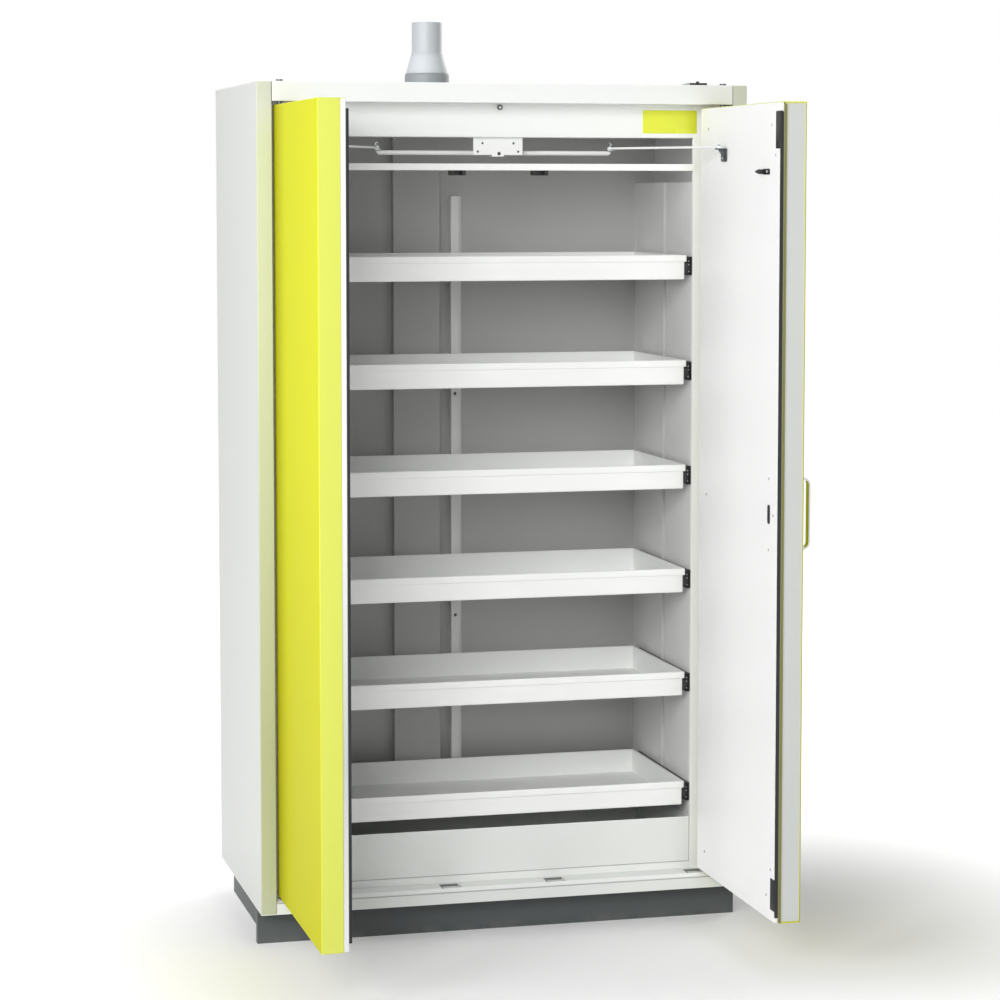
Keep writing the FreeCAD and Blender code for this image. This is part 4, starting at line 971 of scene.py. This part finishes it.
def rod(hand, side):
    """Round rod whose radius swells into a flat eye at each end."""
    pins = np.array([(hand * x, y, ROD_LEVEL) for x, y in (DOOR_PIN, RAIL_PIN)])
    run = pins[1] - pins[0]
    length = np.linalg.norm(run)
    run = run / length
    aside = np.cross((0, 0, 1), run)
    part = np.linspace(EYE_START, EYE_REACH, 6)
    part = np.concatenate([part, np.linspace(length - EYE_REACH, length - EYE_START, 6)])
    near = np.minimum(part, length - part)
    swell = ROD_RADIUS + EYE_SWELL * np.clip((EYE_REACH - near) / 9, 0, 1) ** 2
    wide, tall = circle(20).T[..., None]
    loops = pins[0] + part[:, None, None] * run + swell[:, None, None] * wide[None] * aside
    loops = loops + ROD_RADIUS * tall[None] * np.array([0, 0, 1.0])
    eye = [(2.6, -3.0), (6.0, -3.0), (6.0, 3.0), (2.6, 3.0)]
    eyes = [hoop(eye, 0.8, pin, segments=28, steps=3) for pin in pins]
    piece(side + "_rod_bar", side + "_rod", rod_coat, [skin(loops), *eyes],
          instead=side + "_closer_rod")


def carriage(hand, side):
    """Saddle plate with its headed pin, and a wire hook bent round part of a circle above it."""
    low, high = span(side + "_closer_carriage")
    x, y = hand * RAIL_PIN[0], RAIL_PIN[1]
    plate = slab(low, (high[0], high[1], PLATE_TOP), "z", 3.0, 0.6)
    pin = spindle([(2.5, 2.0), (2.5, 9.4), (4.0, 9.4), (4.0, high[2] - low[2])], [0.3, 0.2, 0.4, 1.4],
                  (x, y, low[2]))
    bend = np.radians(np.linspace(-90, 150, 15))
    path = np.stack([hand * 3.6 * np.cos(bend), 0 * bend, 3.6 + 3.8 * np.sin(bend)], -1)
    hook = swept(path + (x, y, high[2]), 1.6 * circle(10))
    piece(side + "_carriage_saddle", side + "_carriage", zinc_steel,
          [plate, pin, hook], instead=side + "_closer_carriage")


def closer_gear():
    """Guide block, two tubes, cover screws, rods and carriages.

    A tube's end is cut on the slant: the end's points shift inward by an amount that grows downwards.
    """
    outline = [(TUBE_BORE, TUBE_START), (TUBE_RADIUS, TUBE_START), (TUBE_RADIUS, TUBE_END),
               (TUBE_BORE, TUBE_END)]
    tube = soften(outline, [0.2, 0.2, 0.7, 0.3], steps=2)
    tubes = []
    for hand, side in HANDS:
        points, faces = turned(tube * (1, hand), (0, RAIL_PIN[1], TUBE_LEVEL), "x", 32, ring=True)
        outer = np.clip((abs(points[:, 0]) - SLANT_START) / SLANT_FADE, 0, 1)
        fall = TUBE_LEVEL + TUBE_RADIUS - points[:, 2]
        points[:, 0] -= hand * outer * TUBE_SLANT * fall / (2 * TUBE_RADIUS)
        tubes.append((points, faces))
    block = slab((-12, -205.5, 1878.0), (12, -177.5, 1922.5), "z", 2.0, 0.8)
    piece("closer_tubes", "casing", closer_coat, [*tubes, block], instead="closer_guide")
    corners = ((-50.0, 1890.0), (50.0, 1890.0), (-38.5, 1910.0), (38.5, 1910.0))
    heads("cover_screws", "casing", screw(2.6, 1.5), [(x, COVER_FACE, z) for x, z in corners], "-y",
          dark_steel)
    heads("cover_bolt", "casing", dome(4.2, 2.4, hole=2.0), [(2.6, COVER_FACE, 1885.2)], "-y", dark_steel)
    for hand, side in HANDS:
        rod(hand, side)
        carriage(hand, side)


# Small fittings

HEADER_FACE = -237.5
POCKETS = (-490.0, -131.0, 131.0, 490.0)
POCKET_PLATES = (
    # two corners, counted across from the pocket's middle: the floor, the rear wall and the left wall
    ((-22.6, -287.1, 114.0), (22.6, -247.9, 114.3)),
    ((-22.6, -249.4, 114.0), (22.6, -247.9, 117.6)),
    ((-22.6, -287.0, 114.0), (-21.2, -248.0, 117.6)),
)
COVER_TOP = 116.4
CLIP_LENGTH = 22.0
CLIP_GAP = 0.5
LATCH_BOXES = ((153.4, 226.6), (1890.4, 1973.6))


def header_fittings():
    """Stud in the middle of the header and the bare plate at its right-hand end."""
    stud = spindle([(6.3, 0.0), (6.3, 5.6), (3.4, 5.6), (3.0, 4.6)], [0.2, 1.2, 0.3, 0.3],
                   (0.0, HEADER_FACE, 1995.0), "y", way=-1, segments=32, steps=3)
    piece("header_stud", "casing", dark_steel, [stud])
    plate = slab((358.0, HEADER_FACE - 0.8, 1935.0), (495.6, HEADER_FACE, 1991.0), "y", 2.0, 0.2)
    piece("header_plate", "casing", label_yellow, [plate])


def sill_fittings():
    """Dark linings of the latch pockets, a painted shade of their recesses, and their covers, each with a
    small screw at both ends.
    """
    linings = []
    covers = []
    screws = []
    for x in POCKETS:
        linings += [slab((x + low[0], *low[1:]), (x + high[0], *high[1:]), "z", 0.5, 0.1)
                    for low, high in POCKET_PLATES]
        covers.append(slab((x - 19.0, -287.0, 114.3), (x + 22.4, -266.0, COVER_TOP), "z", 2.0, 0.5))
        screws += [(x - 13.5, -276.0, COVER_TOP), (x + 17.0, -276.0, COVER_TOP)]
    piece("pocket_shade_linings", "casing", pocket_shade_coat, linings)
    piece("sill_plates", "casing", sill_plate_coat, covers, instead="sill_covers")
    heads("sill_screws", "casing", screw(2.2, 0.8), screws)


def door_edges():
    """Ribbed closing strip of the left door, lipped seal and latch boxes of the right door.

    A rib's height is the square of a raised cosine over a pitch of 8 mm.
    """
    low, high = span("left_door_strip")
    ribs = np.linspace(low[1] + 0.5, high[1] - 0.5, 61)
    wave = high[0] - 1.1 * (0.5 - 0.5 * np.cos((ribs - ribs[0]) / 4.0 * math.pi)) ** 2
    shoulder = high[0] - 1.0
    outline = np.concatenate([[(low[0], low[1]), (shoulder, low[1])], np.stack([wave, ribs], -1),
                              [(shoulder, high[1]), (low[0], high[1])]])
    piece("left_strip_seal", "left_door", seal_rubber, [bar(outline, low[2], high[2], "z", edge=0.5)],
          instead="left_door_strip")
    eased("right_door_seal", seal_rubber, width=0.8)
    low, high = span("right_door_latches")
    x, y = low[:2]
    boxes = [slab((x, y, bottom), (*high[:2], top), "x", 1.4, 0.8) for bottom, top in LATCH_BOXES]
    bolts = [slab((x - 0.6, y + 5.0, z - 14.0), (x + 2.0, y + 12.0, z + 14.0), "x", 1.5, 0.5)
             for z in np.mean(LATCH_BOXES, 1)]
    piece("right_latch_boxes", "right_door", black_moulding, boxes, instead="right_door_latches")
    piece("right_latch_bolts", "right_door", black_moulding, bolts)


def door_hems():
    """Thin hem of the shell above the inner panel, and an olive strip over the end of the right door's inner
    panel, a painted shade of the groove by its seal.
    """
    for hand, side in HANDS:
        low, high = span(side + "_door_shell")
        hem = handed_slab(hand, (494.3, 506.4), (low[1] + 2.0, -277.0), (high[2] - 1.3, high[2] - 0.1),
                          "z", 1.0, 0.3)
        piece(side + "_door_hem", side + "_door", hem_coat, [hem])
    # Painted shade: an olive strip where the panel's end lies in shadow beside the seal.
    strip = slab((502.3, -834.3, 128.6), (506.5, -831.7, 1993.0), "z", 0.8, 0.4)
    piece("right_panel_end_shade_strip", "right_door", olive_shade_strip, [strip])


def roof_fittings():
    """Terminal block with its stud, and the sloped cable clip beside it."""
    low, high = span("earth_terminal")
    clip_end = low[0] + CLIP_LENGTH
    start = clip_end + CLIP_GAP
    block = slab((start, low[1], low[2]), (high[0], high[1], low[2] + 5.0), "z", 1.5, 0.6)
    middle = ((start + high[0]) / 2, (low[1] + high[1]) / 2, low[2])
    stud = spindle([(4.0, 4.8), (4.0, 9.0)], [0.2, 1.0], middle)
    piece("terminal_block", "casing", black_moulding, [block, stud],
          instead="earth_terminal")
    wedge = soften([(low[0] + 0.2, low[2]), (clip_end, low[2]), (clip_end, low[2] + 6.0)],
                   [0.1, 0.2, 0.6], steps=2)
    piece("terminal_clip", "casing", zinc_steel, [bar(wedge, low[1], high[1], "y")])


# Fittings of the doors

DOOR_FACE = 494.1
PLATE_FACE = DOOR_FACE - 3.0
LOCK = (557.0, -777.5, 1061.5)


def door_screws():
    """Screws of the inner panels; the right one has more of them, for its lock and its latches."""
    rows = [(y, z) for y in (-333.5, -778.5) for z in (1944.0, 1062.0, 181.0)]
    extra = [(-776.5, 1143.0), (-776.5, 980.0), (-805.5, 1876.0), (-805.5, 1061.0), (-805.5, 246.0)]
    for hand, side, spots in ((1, "right", rows + extra), (-1, "left", rows)):
        heads(side + "_panel_screws", side + "_door", screw(3.4, 1.6),
              [(hand * DOOR_FACE, y, z) for y, z in spots], INWARD[hand])


def door_hardware(hand, side):
    """Rod bracket with its rib and pin, and striker pin whose nose runs to a blunt point."""
    body = side + "_door"
    plate = handed_slab(hand, (DOOR_FACE, PLATE_FACE), (-472.5, -432.5), (1864.7, PLATE_TOP), "x", 6.5, 0.5)
    arm = handed_slab(hand, (DOOR_FACE, 468.0), (-474.5, -453.5), (PLATE_TOP - 3.0, PLATE_TOP), "z", 5.0, 0.5)
    root = DOOR_FACE - 2.0
    rib = soften([(root, 1893.0), (473.0, 1893.0), (root, 1868.0)], 1.0) * (hand, 1)
    pin = spindle([(2.5, 1895.2), (2.5, 1902.3), (4.0, 1902.3), (4.0, 1904.3)], [0.2, 0.2, 0.3, 1.0],
                  (hand * DOOR_PIN[0], DOOR_PIN[1], 0.0))
    piece(side + "_rod_bracket", body, bracket_steel, [plate, arm, bar(rib, -466.0, -462.5, "y"), pin],
          instead=side + "_door_fittings")
    low, high = span("rail_catches")
    level = (low[2] + high[2]) / 2
    plate = handed_slab(hand, (DOOR_FACE, PLATE_FACE), (-767.5, -727.5), (level - 6.5, level + 6.5), "x", 2.0,
                        0.5)
    nose = spindle([(5.5, 2.0), (5.5, 15.5), (1.6, 24.0)], [0.2, 2.0, 1.0],
                   (hand * DOOR_FACE, -734.5, level), "x", way=-hand, segments=32)
    piece(side + "_striker", body, black_moulding, [plate, nose])
    spots = [(hand * PLATE_FACE, y, z) for y, z in ((-444.5, 1886.0), (-444.5, 1873.0), (-756.0, level))]
    heads(side + "_bracket_screws", body, screw(3.2, 1.8), spots, INWARD[hand])


def lock_fixings():
    """Ring round the lock on the outer face, and the oval cover on the inner face."""
    rose = hoop([(9.1, 0.0), (14.0, 0.0), (14.0, 1.2), (13.0, 2.0), (9.1, 2.0)], [0.1, 0.1, 0.5, 0.5, 0.3],
                LOCK, "x", 48, 3)
    cover = slab((DOOR_FACE - 2.0, LOCK[1] - 7.0, LOCK[2] - 22.0), (DOOR_FACE, LOCK[1] + 7.0, LOCK[2] + 22.0),
                 "x", 6.7, 0.7, steps=8)
    piece("lock_fixings", "right_door", black_moulding, [rose, cover])


ROOF_LEVEL = 2050.0
BACK_FACE = 242.5
RIVET_EDGE = 575.0
RIVET_LOW = 130.0
RIVET_HIGH = 2010.0


def outer_screws():
    """Flat rivets round the back sheet, screws along the roof's edges and rivets on the back wall."""
    spots = [(x, REAR_SHEET, z) for x in (-RIVET_EDGE, RIVET_EDGE)
             for z in np.linspace(RIVET_LOW, RIVET_HIGH, 9)]
    spots += [(x, REAR_SHEET, z) for x in np.linspace(-RIVET_EDGE, RIVET_EDGE, 6)[1:-1]
              for z in (RIVET_LOW, RIVET_HIGH)]
    heads("rear_rivets", "casing", dome(4.0, 0.3), spots, "+y")
    spots = [(x, y, ROOF_LEVEL) for x in (-RIVET_EDGE, RIVET_EDGE) for y in (-180.0, 60.0, 270.0)]
    heads("roof_screws", "casing", screw(4.2, 2.0), spots)
    spots = [(x, BACK_FACE, z) for x, z in ((-241.0, 1797.7), (241.0, 1797.7), (-250.0, 1754.6))]
    heads("back_rivets", "casing", dome(3.4, 1.4), spots, "-y")


casing_sheets()
door_sheets()
trays()
spigot()
handle()
closer_gear()
header_fittings()
sill_fittings()
door_edges()
door_hems()
roof_fittings()
door_screws()
for hand, side in HANDS:
    door_hardware(hand, side)
lock_fixings()
outer_screws()


# Floor, light and camera: lengths are metres.

FLOOR_HALF = 14.0
# Oblong of painted shadow on the floor in front of the casing, and the glow within it and beyond.
PAINTED_SHADOW_MIDDLE = (0.2, -0.4, 0)
PAINTED_SHADOW_HALF = (0.6, 0.2, 0)
GLOW_FADE = 1.15
GLOW_IN_PAINTED_SHADOW = 0.15
GLOW_MOST = 0.8
PAPER = (0.8, 0.8, 0.8, 1)
LIGHT = (1, 1, 1, 1)


def seen_rays(tree):
    """One for camera, glossy and transmission rays, else nought."""
    path = add(tree, "ShaderNodeLightPath", {})
    glossy = scalar(tree, "MAXIMUM", path["Is Glossy Ray"], path["Is Transmission Ray"])
    return scalar(tree, "MAXIMUM", path["Is Camera Ray"], glossy)


def finish_tree(tree, kind, plain, seen):
    """Output that gives the seen shader to the seen rays and the plain one to all others."""
    mix = wired(tree, "ShaderNodeMixShader", (seen_rays(tree), plain, seen))
    add(tree, kind, {"Surface": mix[0]})


def floor():
    """Pale floor that turns white away from the object.

    The glow that the camera sees grows with the distance from an oblong in front of the casing, so the floor
    there stays darker as a painted shadow.
    """
    mesh = bpy.data.meshes.new("studio_floor")
    corners = [(x * FLOOR_HALF, y * FLOOR_HALF, 0) for x, y in ((-1, -1), (1, -1), (1, 1), (-1, 1))]
    mesh.from_pydata(corners, [], [(0, 1, 2, 3)])
    item = linked("studio_floor", mesh)
    material, tree, surface = start_material("floor_paper")
    tree.nodes.clear()
    paper = add(tree, "ShaderNodeBsdfDiffuse", {"Color": PAPER})[0]
    away = vector(tree, "ABSOLUTE", vector(tree, "SUBTRACT", object_place(tree), PAINTED_SHADOW_MIDDLE))
    away = vector(tree, "MAXIMUM", vector(tree, "SUBTRACT", away, PAINTED_SHADOW_HALF), (0, 0, 0))
    distance = wired(tree, "ShaderNodeVectorMath", (away,), "LENGTH")["Value"]
    # Glow least in the oblong of painted shadow, most far from it.
    glow_outside_painted_shadow = ranged(tree, distance, 0.0, GLOW_FADE, GLOW_IN_PAINTED_SHADOW, GLOW_MOST, "SMOOTHSTEP")
    glow = add(tree, "ShaderNodeEmission", {"Color": LIGHT, "Strength": glow_outside_painted_shadow})[0]
    both = wired(tree, "ShaderNodeAddShader", (paper, glow))[0]
    finish_tree(tree, "ShaderNodeOutputMaterial", paper, both)
    mesh.materials.append(material)


def world_light(level):
    """Even light of a level on the object, before a backdrop that is seen as white."""
    world = bpy.data.worlds.new("studio_world")
    bpy.context.scene.world = world
    world.use_nodes = True
    tree = world.node_tree
    tree.nodes.clear()
    ambient = add(tree, "ShaderNodeBackground", {"Color": LIGHT, "Strength": level})[0]
    backdrop = add(tree, "ShaderNodeBackground", {"Color": LIGHT, "Strength": 1.0})[0]
    finish_tree(tree, "ShaderNodeOutputWorld", ambient, backdrop)


def area_light(name, place, target, size, power):
    """Square lamp that shines from its place at a target."""
    data = bpy.data.lights.new(name, "AREA")
    data.shape = "SQUARE"
    data.size = size
    data.energy = power
    lamp = linked(name, data)
    lamp.location = place
    lamp.rotation_euler = (Vector(target) - Vector(place)).to_track_quat("-Z", "Y").to_euler()


def camera(place, down, right):
    """Camera of the front view, tilted down and turned right by degrees."""
    data = bpy.data.cameras.new("view")
    data.lens = 101.67
    data.sensor_width = 36.0
    data.shift_y = -0.08
    data.clip_end = 60.0
    item = linked("view", data)
    item.location = place
    item.rotation_euler = (math.radians(90 - down), 0, math.radians(-right))
    bpy.context.scene.camera = item


floor()
world_light(0.30)
area_light("front_key", (-3.0, -6.0, 3.1), (0.0, -0.3, 1.0), 2.6, 222.0)
area_light("left_key", (-5.3, -3.4, 3.0), (0.0, -0.3, 1.0), 2.4, 146.0)
area_light("rear_fill", (5.0, 3.8, 3.2), (0.0, 0.0, 1.0), 2.8, 92.0)
camera((-1.6933, -6.8147, 1.7877), 4.5683, 14.4446)
bpy.context.scene.view_settings.view_transform = "Standard"
